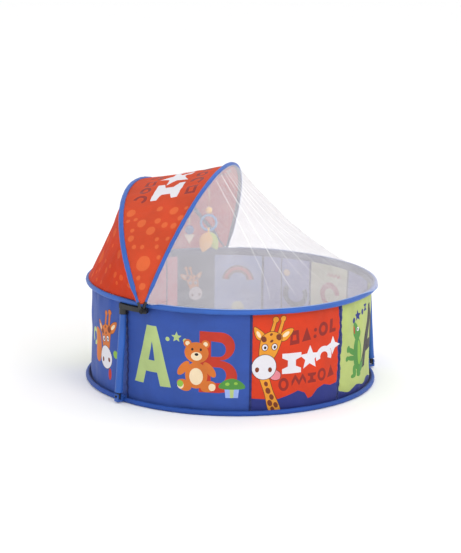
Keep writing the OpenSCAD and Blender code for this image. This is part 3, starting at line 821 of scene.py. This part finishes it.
for k in range(7):
    first, last, width = panel_span(k)
    shapes, pictures = [], []
    for index, tone in enumerate(ZONE_TONES):
        for turn in (0, 360):
            low, high = max(ZONES[index] + turn, first), min(ZONES[index + 1] + turn, last)
            if high - low < 1.2:
                continue
            gap = ((low > first) * 0.005, (high < last) * -0.005)
            u0, u1 = (math.radians(a - first) * WALL_R + e for a, e in zip((low, high), gap))
            u0, u1 = max(u0, 0.0015), min(u1, width - 0.0015)
            shapes.append(([(u0, 0.020), (u1, 0.020), (u1, 0.358), (u0, 0.358)], tone))
            if high - low > 12.0:
                pictures += zone_picture(index, (u0 + u1) / 2)
    wall_sheet(f"lining_print_{k + 1}", LINING_R, first, last, shapes + pictures, LINING_EDGE,
               [f"lining_panel_{k + 1}"])


def join(pieces, name):
    """One object from several, as a real sewn group."""
    with bpy.context.temp_override(active_object=pieces[0], selected_editable_objects=pieces,
                                   object=pieces[0]):
        bpy.ops.object.join()
    pieces[0].name = name
    return pieces[0]


def seam_strip(index, degrees, width, material):
    zs = np.linspace(0.010, RIM_Z - 0.012, 80)
    across = np.linspace(-1, 1, 5)
    angle = degrees + np.degrees(across * width / 2 / WALL_R)
    crown = 0.0009 * (1 - across ** 4)
    rows = np.stack([wall_point(SEAM_R, angle, np.full(5, z)) for z in zs])
    out = polar(1.0, angle, 0.0) * crown[:, None]
    rows = rows + out[None]
    return grid_piece(f"seam_strip_{index}", rows, material)


strips = [seam_strip(k, SEAMS[k], 0.008, BINDING_DARK) for k in range(7)]
tapes = join(strips, "seam_tape_set")
solidify(tapes, 0.0005, -1.0)
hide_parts("seam_tapes")
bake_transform(tapes)


# ---- hoops ----
def darken(piece, columns, count):
    """The navy side of a two-tone tape: the faces in these columns of its grid."""
    piece.data.materials.append(BINDING_DARK)
    for number, face in enumerate(piece.data.polygons):
        if number < len(piece.data.polygons) // count * count and number % count in columns:
            face.material_index = 1


def hoop_cover(name, z, tab_z, seed, body, node, material):
    """The padded tube with its sewn tab: cloth gathered round the hoop."""
    turns = 720
    angle = np.linspace(0, 360, turns, endpoint=False)
    gather, soft = waves(12, 18.0, 46.0, seed), waves(6, 1.5, 5.0, seed + 1)
    lean = math.degrees(math.asin(np.clip((tab_z - z) / TUBE_R, -1, 1)))
    start = 180 - lean - 8
    around = np.radians(np.linspace(start, start - 344, 22))
    profile = [(SEAM_R - HOOP_R, tab_z - z + 0.0008)]
    profile += [(TUBE_R * math.cos(a), TUBE_R * math.sin(a)) for a in around]
    profile += [(SEAM_R - HOOP_R, tab_z - z - 0.0008)]
    profile = np.array(profile)
    rows = []
    distance = np.radians(angle) * HOOP_R
    for j, (dr, dz) in enumerate(profile):
        held = 0.0 if j in (0, len(profile) - 1) else 1.0
        pull = 1 + held * (0.030 * gather(distance, np.full(turns, j * 0.0016))
                           + 0.045 * soft(distance, np.full(turns, j * 0.004)))
        rows.append(polar(HOOP_R + dr * pull, angle, z + dz * pull))
    piece = grid_piece(name, np.stack(rows, 1), material, (True, True))
    darken(piece, [j for j, (dr, dz) in enumerate(profile) if dr < -0.0042], len(profile))
    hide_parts(node)
    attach(piece, body)
    return piece


# The lower cover's darker tape colour is painted shade.
hoop_cover("lower_hoop_cover", TUBE_R, TUBE_R, 21, "base", "lower_hoop_sleeve", BINDING_LOW_PAINTED_SHADE)
hoop_cover("upper_hoop_cover", RIM_Z, RIM_Z - 0.007, 31, "top_ring", "upper_hoop_sleeve",
           BINDING)


# ---- floor ----
def floor_pieces():
    rings = np.linspace(0.0005, HOOP_R - 0.0105, 40)
    angle = np.linspace(0, 360, 180, endpoint=False)
    rough = waves(8, 3.0, 9.0, 41)
    rows = []
    for r in rings:
        p = polar(r, angle, 0.0008)
        p[:, 2] += 0.0003 * rough(p[:, 0], p[:, 1])
        rows.append(p)
    cloth_disc = grid_piece("floor_sheet", np.stack(rows), FLOOR_CLOTH, (False, True))
    flat_uv(cloth_disc)
    solidify(cloth_disc, 0.0008)
    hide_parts("floor_cloth")
    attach(cloth_disc, "base")

    half = (MAT_TOP - MAT_LOW) / 2
    edge = MAT_R - half
    radii = np.concatenate([np.linspace(0.001, edge, 100),
                            edge + half * np.sin(np.linspace(0.05, math.pi / 2, 10))])
    radii_low = radii[::-1][1:]
    turn = np.linspace(0, 360, 300, endpoint=False)
    rows = []
    pitch = 0.085
    for j, r in enumerate(np.concatenate([radii, radii_low])):
        upper = j < len(radii)
        p = polar(r, turn, 0.0)
        u, v = (p[:, 0] + p[:, 1]) / math.sqrt(2), (p[:, 0] - p[:, 1]) / math.sqrt(2)
        seam = np.minimum(abs((u / pitch) % 1 - 0.5), abs((v / pitch) % 1 - 0.5)) * pitch
        puff = 1 - np.exp(-(seam / 0.012) ** 1.5)
        rise = half if r <= edge else math.sqrt(max(half ** 2 - (r - edge) ** 2, 0))
        depth = 0.010 if upper else 0.004
        fade = min(1.0, max(0.0, (edge - r) / 0.02))
        z = (MAT_LOW + half) + (1 if upper else -1) * (rise - depth * (1 - puff) * fade)
        p[:, 2] = z
        rows.append(p)
    pad = grid_piece("quilted_mat", np.stack(rows), MAT_CLOTH, (False, True))
    flat_uv(pad)
    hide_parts("floor_mat")
    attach(pad, "base")
    a = np.linspace(0, 360, 300, endpoint=False)
    path = polar(MAT_R - 0.0004, a, MAT_LOW + half)
    out = polar(1.0, a, 0.0)
    up = np.tile((0.0, 0.0, 1.0), (len(a), 1))
    section = np.tile(ellipse(0.0026, 0.0026, 10), (len(a), 1, 1))
    cord_edge = sweep("mat_piping", path, section, (out, up), PIPING, closed=True)
    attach(cord_edge, "base")


def flat_uv(piece):
    """UVs straight down, for a piece that lies flat."""
    mesh = piece.data
    for loop in mesh.loops:
        mesh.uv_layers[0].data[loop.index].uv = mesh.vertices[loop.vertex_index].co.xy


floor_pieces()


# ---- canopy ----
def arch(which, t):
    """Points on an arch, t from 0 at the left pivot to 1 at the right."""
    half, rise, lean = which
    r = (half ** 2 + rise ** 2) / (2 * rise)
    a0 = math.asin((r - rise) / r)
    a = a0 + (math.pi - 2 * a0) * np.asarray(t, float)
    up = rise - r + r * np.sin(a)
    lean = math.radians(lean)
    return np.stack([-r * np.cos(a), PIVOT.y - up * math.sin(lean),
                     PIVOT.z + up * math.cos(lean)], -1)


def arch_frame(which, t):
    """The tangent, the outward direction in the arch's plane, and the plane's normal."""
    d = arch(which, np.asarray(t) + 1e-4) - arch(which, np.asarray(t) - 1e-4)
    tangent = d / np.linalg.norm(d, axis=-1, keepdims=True)
    lean = math.radians(which[2])
    normal = np.broadcast_to(np.array([0, -math.cos(lean), -math.sin(lean)]), tangent.shape)
    outward = np.cross(tangent, normal)
    if outward[len(outward) // 2][2] < 0:
        outward = -outward
    return tangent, outward, normal


def arch_length(which):
    p = arch(which, np.linspace(0.0, 1.0, 400))
    return float(np.linalg.norm(np.diff(p, axis=0), axis=1).sum())


def rear_rim(t):
    a = 160.0 - 140.0 * np.asarray(t, float)
    return polar(HOOP_R - 0.002, a, RIM_Z + TUBE_R + 0.0006)


def angle_weight(points, low_line, high_line, ratio_low, ratio_high):
    """Blend weights for cloth that turns about the pivot line with its two edges."""
    def slope(p):
        return np.arctan2(p[:, 1] - PIVOT.y, np.maximum(p[:, 2] - PIVOT.z, 1e-4))
    s = slope(points)
    share = np.clip((s - slope(low_line)) / (slope(high_line) - slope(low_line) + 1e-9), 0, 1)
    return ratio_low + (ratio_high - ratio_low) * share


FOLD_RATIO = 60.0 / 94.5   # how far the middle arch turns for each degree of the front arch
CANOPY_LENGTH = 1.30       # of each printed field, from pivot to pivot
canopy_large = waves(8, 2.0, 6.0, 51)
canopy_fine = waves(9, 8.0, 18.0, 52)


def canopy_point(low, high, t, s, sag):
    """A point of a canopy cloth, s across from one edge curve to the other."""
    a, b = low(t), high(t)
    wide = np.linalg.norm(b - a, axis=-1)
    p = a + (b - a) * s[:, None]
    dt = low(t + 1e-3) + high(t + 1e-3) - low(t - 1e-3) - high(t - 1e-3)
    out = np.cross(dt, b - a)
    out /= np.maximum(np.linalg.norm(out, axis=-1, keepdims=True), 1e-9)
    centre = np.array([0.0, PIVOT.y, PIVOT.z - 0.1])
    out *= np.where(((p - centre) * out).sum(-1) < 0, -1, 1)[:, None]
    held = np.clip(4 * s * (1 - s), 0, 1)
    foot = np.minimum(t, 1 - t)
    fan = np.exp(-foot / 0.10) * np.sin(s * 2 * math.pi * 3.5 + 1.0) * 0.0035
    lift = (-sag * held * np.clip(wide / 0.3, 0, 1)
            + 0.0032 * canopy_large(t * 1.3, s * wide) * held ** 0.5
            + 0.0016 * canopy_fine(t * 2.4, s * wide * 0.7) * held ** 0.5
            + fan * held)
    return p + out * lift[:, None]


def lens(length, wide, t0, t1):
    t = np.linspace(t0, t1, 80)
    w = np.array([wide(x) for x in t]) / 2
    return np.concatenate([np.stack([t * length, -w], -1), np.stack([t * length, w], -1)[::-1]])


def canopy_cloth(name, low, high, t0, t1, shapes, sag, node, ratios,
                 base):
    length = CANOPY_LENGTH

    def place(u, v):
        t = u / length
        w = np.maximum(np.linalg.norm(high(t) - low(t), axis=-1), 1e-6)
        return canopy_point(low, high, t, np.clip(0.5 + v / w, 0.0, 1.0), sag)

    outline = lens(length, width_of(low, high), t0, t1)
    piece = printed(name, outline, shapes, base, place, step=0.011)
    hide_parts(node)
    uv = uv_points(piece)
    t = np.clip(uv[:, 0] / length, 0, 1)
    co = np.array([v.co for v in piece.data.vertices])
    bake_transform(piece)
    angle_weight(co, low(t), high(t), *ratios)
    solidify(piece, 0.0008)
    return piece


def spots(t0, t1, wide, length, count, seed, keep_out=(), material=SPOT):
    """Soft round spots scattered over a cloth, clear of each other and of its other prints."""
    draw = np.random.default_rng(seed)
    found = []
    for _ in range(count * 20):
        t, s, r = draw.uniform(t0, t1), draw.uniform(-0.42, 0.42), draw.choice(
            [0.008, 0.012, 0.017, 0.027], p=[0.3, 0.36, 0.2, 0.14])
        u, v = t * length, s * wide(t)
        if abs(v) + r + 0.012 > wide(t) / 2:
            continue
        if any(math.hypot(u - a, v - b) < r + c + 0.012 for a, b, c in found):
            continue
        if any(x0 < u < x1 and y0 < v < y1 for x0, y0, x1, y1 in keep_out):
            continue
        found.append((u, v, r))
        if len(found) >= count:
            break
    return [(oval(u, v, r, r, 0, 16), material) for u, v, r in found]


front_line = lambda t: arch(FRONT, t)
mid_line = lambda t: arch(MID, t)


def width_of(low, high):
    return lambda t: float(np.linalg.norm(high(np.array([t])) - low(np.array([t]))))


def mark_row(u, v, du, dv, size, material, base, marks):
    """A run of bold plain marks, each du, dv on from the last."""
    out = []
    for k, mark in enumerate(marks):
        x, y = u + k * du, v + k * dv
        if mark == "ring":
            out += [(oval(x, y, size, size * 0.85), material),
                    (oval(x, y, size * 0.48, size * 0.4), base)]
        elif mark == "square":
            out += [([(x - size, y - size * 0.8), (x + size, y - size * 0.8),
                      (x + size, y + size * 0.8), (x - size, y + size * 0.8)], material),
                    ([(x - size * 0.5, y - size * 0.35), (x + size * 0.5, y - size * 0.35),
                      (x + size * 0.5, y + size * 0.35), (x - size * 0.5, y + size * 0.35)], base)]
        elif mark == "hook":
            out.append((arch_band(x, y, size * 1.05, size * 0.55, -150, 90), material))
        elif mark == "star":
            out.append((star(x, y, size * 1.25, size * 0.55), material))
        else:
            out.append((spool(x, y, size * 0.95, size * 0.40), material))
    return out


CROWN = CANOPY_LENGTH / 2
front_shapes = (mark_row(CROWN - 0.205, 0.092, 0.062, 0.0, 0.025, DARK_RED, CANOPY,
                         ["hook", "ring", "square", "hook", "ring", "square", "hook", "ring"])
                + mark_row(CROWN - 0.165, -0.004, 0.112, 0.0, 0.056, WHITE_PRINT, CANOPY,
                           ["spool", "star", "ring", "spool"])
                + mark_row(CROWN - 0.185, -0.104, 0.064, 0.0, 0.026, DARK_RED, CANOPY,
                           ["square", "hook", "ring", "star", "square", "ring", "hook"]))
crown_area = (CROWN - 0.27, -0.2, CROWN + 0.28, 0.2)
front_shapes = spots(0.06, 0.94, width_of(front_line, mid_line), CANOPY_LENGTH, 46, 61,
                     [crown_area]) + front_shapes
canopy_cloth("canopy_front_cloth", front_line, mid_line, 0.018, 0.982, front_shapes, 0.006,
             "canopy_front",
             (1.0, FOLD_RATIO), CANOPY)
back_shapes = spots(0.06, 0.94, width_of(mid_line, rear_rim), CANOPY_LENGTH, 60, 62, (),
                    SPOT_BACK_PAINTED_SHADE)
canopy_cloth("canopy_back_cloth", mid_line, rear_rim, 0.012, 0.988, back_shapes, 0.006,
             "canopy_back",
             (FOLD_RATIO, 0.0), CANOPY_BACK_PAINTED_SHADE)


def binding(name, which, across, deep, seed, material, node, body, t0, t1, inner):
    """Tape folded round an arch's rod: a soft flat tube with sewing puckers."""
    count = 420
    t = np.linspace(t0, t1, count)
    path = arch(which, t)
    _, outward, normal = arch_frame(which, t)
    distance = np.linspace(0, arch_length(which), count)
    gather = waves(10, 20.0, 45.0, seed)
    from_end = np.minimum(distance, distance[::-1])
    full = np.clip((from_end - 0.048) / 0.034, 0, 1)
    thin = 0.0051   # its radius near the pivots, where the two arches pass
    section = np.stack([ellipse(thin + (across - thin) * f, thin + (deep - thin) * f, 18, 0.9)
                        for f in full])
    for j in range(section.shape[1]):
        pull = 1 + (0.015 + 0.035 * full) * gather(distance, np.full(count, j * 0.002))
        section[:, j] *= pull[:, None]
    piece = sweep(name, path, section, (normal, outward), material)
    darken(piece, inner, section.shape[1])
    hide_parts(node)
    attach(piece, body)
    return piece


binding("front_arch_tape", FRONT, 0.0074, 0.0084, 71, BINDING, "front_arch_binding",
        "front_arch", 0.0095, 0.9905, range(10, 17))
binding("mid_arch_tape", MID, 0.0096, 0.0072, 72, BINDING, "mid_arch_binding",
        "mid_arch", 0.0100, 0.9900, range(10, 17))


# ---- net ----
NET_START = 163.0
COVER_R = TUBE_R + 0.0016


def front_rim(t, tube_angle=104.0):
    a = NET_START + (540 - 2 * NET_START) * np.asarray(t, float)
    c = math.radians(tube_angle) if np.isscalar(tube_angle) else np.radians(tube_angle)
    return polar(HOOP_R + COVER_R * np.cos(c), a, RIM_Z + COVER_R * np.sin(c))


CREASES = [(0.405, 0.21, 0.0045, 0.6), (0.440, 0.28, 0.0050, 1.0), (0.462, 0.34, 0.0045, 0.5),
           (0.474, 0.39, 0.0055, 1.0), (0.482, 0.44, 0.0045, 0.7), (0.492, 0.49, 0.0055, 1.1),
           (0.503, 0.55, 0.0045, 0.6), (0.515, 0.62, 0.0050, 1.0), (0.532, 0.71, 0.0045, 0.7),
           (0.560, 0.81, 0.0040, 0.9)]
net_large = waves(8, 1.5, 4.5, 81)
net_fine = waves(9, 7.0, 16.0, 82)
NET_SAG = 0.062
WRAP = 1.12


def crease_line(t_top, t_rim):
    """A pulled-straight fold from the arch to the rim: t at each step of s."""
    steps, ts = np.linspace(0, 1, 60), np.linspace(0.08, 0.92, 500)
    top, rim = arch(FRONT, ts)[:, 0], front_rim(ts)[:, 0]
    x0, x1 = (float(np.interp(k, ts, row)) for k, row in ((t_top, top), (t_rim, rim)))
    return steps, np.array([np.interp(x0 + (x1 - x0) * s, top + (rim - top) * s, ts)
                            for s in steps])


CREASE_LINES = [crease_line(t_top, t_rim) for t_top, t_rim, _, _ in CREASES]


def overhang(t):
    """How far round the hoop the net's edge reaches, in degrees: further at the entry side."""
    a = NET_START + (540 - 2 * NET_START) * np.asarray(t, float)
    return 14.0 + 118.0 * np.exp(-(abs(a - 306) / 44) ** 6)


def net_place(t, s):
    span_s = np.clip(s, 0, 1)
    a = arch(FRONT, t)
    a = a + arch_frame(FRONT, t)[1] * 0.004
    b = front_rim(t)
    p = a + (b - a) * span_s[:, None]
    held = 4 * span_s * (1 - span_s)
    p[:, 2] -= NET_SAG * held * np.sin(math.pi * np.clip(t, 0, 1))
    d = arch(FRONT, t + 1e-3) + front_rim(t + 1e-3) - arch(FRONT, t - 1e-3) - front_rim(t - 1e-3)
    out = np.cross(b - a, d)
    out /= np.maximum(np.linalg.norm(out, axis=-1, keepdims=True), 1e-9)
    out *= np.where(out[:, 2] < 0, -1, 1)[:, None]
    lift = 0.0040 * net_large(t * 1.5, span_s * 0.6) + 0.0012 * net_fine(t * 1.5, span_s * 0.6)
    for (_, _, size, _), line in zip(CREASES, CREASE_LINES):
        gap = (t - np.interp(span_s, *line)) / 0.008
        lift = lift + size * np.exp(-gap ** 2) * np.sin(math.pi * span_s) ** 0.5
    p += out * (lift * held ** 0.5)[:, None]
    wrapped = front_rim(t, 104.0 - (np.clip(s, 1, WRAP) - 1) / (WRAP - 1) * overhang(t))
    return np.where((s > 1)[:, None], wrapped, p)


def net_piece(hem):
    t0, t1 = 0.018, 0.982
    outline = [(t0, 0.0), (t1, 0.0), (t1, WRAP), (t0, WRAP)]
    shapes = []
    for (_, _, _, wide), line in zip(CREASES, CREASE_LINES):
        ss = np.linspace(0.02, 0.87, 26)
        middle = np.interp(ss, *line)
        half = 0.0019 * wide * (1 - 1.05 * ss)
        shapes.append((np.concatenate([np.stack([middle - half, ss], -1),
                                       np.stack([middle + half, ss], -1)[::-1]]), NET_FOLD))
    piece = printed("mosquito_net", outline, shapes, NET, net_place, step=0.0125,
                    uv_of=lambda f: f * (1.45, 0.62))
    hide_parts("net")
    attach(piece, "front_arch")
    flatten_with_arch(piece)
    return piece


def flatten_with_arch(piece):
    """Gives the piece its own copy of its mesh data."""
    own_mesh(piece)


def hem_piece():
    t = np.linspace(0.018, 0.982, 360)
    path = front_rim(t, 104.0 - overhang(t))
    a = NET_START + (540 - 2 * NET_START) * t
    section = np.repeat(ellipse(0.0013, 0.0016, 10)[None], len(t), 0)
    gather = waves(10, 22.0, 50.0, 91)
    for j in range(section.shape[1]):
        section[:, j] *= (1 + 0.12 * gather(t * 1.9, np.full(len(t), j * 0.002)))[:, None]
    up = np.tile((0.0, 0.0, 1.0), (len(t), 1))
    piece = sweep("net_hem_band", path, section, (polar(1.0, a, 0.0), up), HEM_PAINTED_HIGHLIGHT)
    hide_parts("net_hem")
    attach(piece, "front_arch")
    flatten_with_arch(piece)
    return piece


net_piece(hem_piece())


# ---- struts ----
def strut_frame(degrees):
    return (Matrix.Rotation(math.radians(degrees), 4, "Z")
            @ Matrix.Translation((FOOT_R, 0, FOOT_Z))
            @ Matrix.Rotation(math.radians(-STRUT_LEAN), 4, "Y"))


def strut_cloth(side, degrees):
    """The strut's sleeve: a soft cloth tube, pulled flat-sided, with slack folds at its foot."""
    at = strut_frame(degrees)
    low, high = 0.0150, 0.3035
    zs = np.linspace(low, high, 110)
    slack = waves(9, 4.0, 16.0, 100 + int(degrees))
    crimp = waves(8, 18.0, 40.0, 200 + int(degrees))
    rows = []
    for z in zs:
        t = np.linspace(0, 2 * math.pi, 24, endpoint=False)
        foot = math.exp(-(z - low) / 0.03)
        head = math.exp(-(high - z) / 0.03)
        a, b = 0.0112 + 0.0022 * foot, 0.0138 + 0.0006 * foot - 0.0016 * head
        pull = (1 + 0.05 * slack(t * 0.01, np.full(24, z)) + 0.05 * (foot + head)
                * crimp(t * 0.02, np.full(24, z)))
        local = np.stack([a * np.cos(t) * pull, b * np.sin(t) * pull, np.full(24, z)], -1)
        rows.append(placed(at, local))
    piece = grid_piece(f"strut_cloth_{side}", np.stack(rows), BINDING, (False, True))
    solidify(piece, 0.0008, -1.0)
    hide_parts(f"strut_sleeve_{side}")
    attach(piece, f"strut_{side}")


for side, degrees in STRUTS.items():
    strut_cloth(side, degrees)


# ---- toys ----
def soft_leaf(name, at, length, wide, thick, material):
    """A stuffed felt leaf with a sewn edge, hanging from its tip."""
    rows = []
    for s in np.linspace(0.0, 1.0, 26):
        z = -length * s
        half = wide / 2 * math.sin(math.pi * s ** 0.8) ** 0.75 + 0.0015
        puff = thick / 2 * math.sin(math.pi * min(max(s, 0.02), 0.98)) ** 0.6 + 0.0008
        t = np.linspace(0, 2 * math.pi, 20, endpoint=False)
        rib = 1 + 0.05 * math.sin(s * 40)
        rows.append(np.stack([puff * np.sin(t) * rib * (1 - 0.25 * np.cos(t) ** 2),
                              half * np.cos(t), np.full(20, z)], -1))
    return grid_piece(name, placed(at, np.stack(rows)), material, (False, True))


def ribbon(name, top, bottom, wide, thick, material, twist=0.0):
    count = 40
    s = np.linspace(0, 1, count)
    path = np.array(top) + (np.array(bottom) - np.array(top)) * s[:, None]
    path = path + np.stack([0.0012 * np.sin(s * 9), 0.0015 * np.sin(s * 7 + 1), 0 * s], -1)
    turn = s * math.radians(twist)
    first = np.stack([np.cos(turn), np.sin(turn), 0 * s], -1)
    second = np.stack([-np.sin(turn), np.cos(turn), 0 * s], -1)
    section = np.repeat(ellipse(wide / 2, thick / 2, 12, 0.6)[None], count, 0)
    return sweep(name, path, section, (first, second), material)


def ring_toy():
    joint = Vector(JOINTS["ring_toy_swing"]["pos_m"])
    pin = np.array(joint)
    ribbon_piece = ribbon("ring_toy_strap", pin + (0, 0, 0.001), pin - (0, 0, 0.075), 0.0094,
                          0.0016, RIBBON, 12)
    bead = lathe("ring_toy_bead", [(0.002, 0.0126), (0.008, 0.0112), (0.0118, 0.006),
                                   (0.0128, 0.0), (0.0118, -0.006), (0.008, -0.0112),
                                   (0.002, -0.0126)], pin - (0, 0, 0.0834), BEAD, flutes=9)
    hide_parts("ring_toy_ribbon")
    turn = Matrix.Rotation(math.radians(15), 4, "Z")
    centre = Vector(pin - (0, 0, 0.129))
    t = np.linspace(0, 2 * math.pi, 160, endpoint=False)
    path = np.array([centre + turn @ Vector((0, 0.028 * math.cos(a), 0.028 * math.sin(a)))
                     for a in t])
    out = np.array([turn @ Vector((0, math.cos(a), math.sin(a))) for a in t])
    side = np.tile(np.array(turn @ Vector((1, 0, 0))), (len(t), 1))
    section = np.repeat(ellipse(0.0046, 0.0046, 14)[None], len(t), 0)
    section *= (1 + 0.10 * np.cos(t * 12))[:, None, None]
    ring = sweep("ring_toy_teether", path, section, (out, side), RING_BLUE, closed=True)
    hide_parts("ring_toy_ring")
    link_centre = Vector(pin - (0, 0, 0.157))
    t = np.linspace(0, 2 * math.pi, 60, endpoint=False)
    path = np.array([link_centre + turn @ Vector((0.009 * math.cos(a), 0, 0.009 * math.sin(a)))
                     for a in t])
    out = np.array([turn @ Vector((math.cos(a), 0, math.sin(a))) for a in t])
    side = np.tile(np.array(turn @ Vector((0, 1, 0))), (len(t), 1))
    link = sweep("ring_toy_link", path, np.repeat(ellipse(0.0018, 0.0034, 10)[None], 60, 0),
                 (out, side), BEAD, closed=True)
    leaf_root = Matrix.Translation(pin - (0, 0, 0.157)) @ turn
    leaves = [soft_leaf("ring_toy_leaf_gold", leaf_root @ Matrix.Translation((-0.004, 0, -0.0086))
                        @ Matrix.Rotation(math.radians(16), 4, "X"), 0.076, 0.046, 0.009,
                        LEAF_GOLD),
              soft_leaf("ring_toy_leaf_green", leaf_root @ Matrix.Translation((0.004, 0, -0.0086))
                        @ Matrix.Rotation(math.radians(-26), 4, "X"), 0.072, 0.037, 0.009,
                        LEAF_GREEN)]
    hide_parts("ring_toy_leaves")
    for piece, slot in ((ribbon_piece, "toy_ribbon"), (bead, "toy_ribbon"), (ring, "toy_ring"),
                        (link, "toy_leaf"), (leaves[0], "toy_leaf"), (leaves[1], "toy_leaf")):
        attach(piece, "ring_toy")


def lathe(name, profile, centre, material, flutes=0):
    count = 48
    t = np.linspace(0, 2 * math.pi, count, endpoint=False)
    rows = []
    for r, z in profile:
        rr = r * (1 + (0.035 * np.cos(t * flutes) if flutes else 0))
        rows.append(np.stack([centre[0] + rr * np.cos(t), centre[1] + rr * np.sin(t),
                              np.full(count, centre[2] + z)], -1))
    piece = grid_piece(name, np.stack(rows), material, (False, True), flip=True)
    m = piece.modifiers.new("round", "SUBSURF")
    m.levels = m.render_levels = 1
    return piece


def tuft_toy():
    pin = np.array(JOINTS["tuft_toy_swing"]["pos_m"])
    strap = ribbon("tuft_toy_strap", pin + (0, 0, 0.001), pin - (0, 0, 0.028), 0.0094, 0.0016,
                   RIBBON)
    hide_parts("tuft_toy_ribbon")
    draw = np.random.default_rng(17)
    centre = pin - (0, 0, 0.045)
    points, faces, uv = [], [], []
    for _ in range(420):
        way = draw.normal(size=3)
        way /= np.linalg.norm(way)
        side = np.cross(way, (0.3, 0.2, 1.0))
        side /= np.linalg.norm(side)
        other = np.cross(way, side)
        long = draw.uniform(0.0155, 0.0182)
        start = len(points)
        for reach, r in ((0.004, 0.0012), (long * 0.7, 0.0011), (long, 0.0004)):
            droop = np.array((0, 0, -0.12)) * reach * reach / 0.018
            for a in (0, 2.094, 4.189):
                points.append(centre + way * reach + droop + side * r * math.cos(a)
                              + other * r * math.sin(a))
                uv.append((a * 0.001, reach))
        for row in (0, 3):
            for j in range(3):
                a, b = start + row + j, start + row + (j + 1) % 3
                faces.append((a, b, b + 3, a + 3))
        faces.append((start + 6, start + 7, start + 8))
    tuft = mesh_piece("tuft_toy_pompom", points, faces, [TUFT], uv)
    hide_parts("tuft_toy_tuft")
    low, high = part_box("tuft_toy_pennant")
    mid = (np.array(low) + np.array(high)) / 2
    root = Matrix.Translation((mid[0], mid[1], high[2])) @ Matrix.Rotation(math.radians(15), 4, "Z")
    rows = []
    for s in np.linspace(0, 1, 16):
        half = 0.018 * (1 - s) + 0.0012
        t = np.linspace(0, 2 * math.pi, 18, endpoint=False)
        rows.append(np.stack([(0.0028 * (1 - 0.5 * s) + 0.0004) * np.sin(t), half * np.cos(t),
                              np.full(18, -0.034 * s)], -1))
    flag = grid_piece("tuft_toy_flag", placed(root, np.stack(rows)), PENNANT, (False, True))
    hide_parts("tuft_toy_pennant")
    for piece, slot in ((strap, "toy_ribbon"), (tuft, "toy_tuft"), (flag, "toy_pennant")):
        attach(piece, "tuft_toy")


ring_toy()
tuft_toy()

# ---- CAD pieces that stay, with their finishes ----
FINISHES = {"black_plastic": BLACK_PLASTIC, "blue_plastic": BLUE_PLASTIC, "fibre_rod": ROD,
            "spring_wire": STEEL, "ferrule": STEEL, "pins": PINS, "strut_tube": ALLOY,
            "binding_blue": BINDING}
for part in frame["record"]["subparts"]:
    node, finish = frame["nodes"][part["node"]], FINISHES.get(part["material_slot"])
    if finish and not node.hide_render:
        node.data.materials.clear()
        node.data.materials.append(finish)

# ---- floor, backdrop and light ----
floor = mesh_piece("floor", [(-30, -30, -0.0004), (30, -30, -0.0004), (30, 30, -0.0004),
                             (-30, 30, -0.0004)], [(0, 1, 2, 3)], [])
ground_paint = Graph("studio_floor")
ground_paint.even("Base Color", (0.97, 0.97, 0.972, 1))
ground_paint.even("Roughness", 0.9)
floor.data.materials.append(ground_paint.material)

world = bpy.data.worlds.new("studio")
world.use_nodes = True
world.node_tree.nodes["Background"].inputs[0].default_value = (1, 1, 1, 1)
world.node_tree.nodes["Background"].inputs[1].default_value = 1.03
bpy.context.scene.world = world
bpy.context.scene.view_settings.view_transform = "Standard"


def lamp(name, where, size, power):
    toward = Vector((0, 0, 0.3))
    data = bpy.data.lights.new(name, "AREA")
    data.size = size
    data.energy = power
    light = bpy.data.objects.new(name, data)
    bpy.context.collection.objects.link(light)
    light.location = where
    light.rotation_euler = (toward - Vector(where)).to_track_quat("-Z", "Y").to_euler()


lamp("key", (-3.4, -4.2, 4.6), 2.4, 95)
lamp("fill", (-5.0, 1.0, 2.0), 3.0, 12)
lamp("back", (2.8, -2.0, 4.2), 2.5, 24)
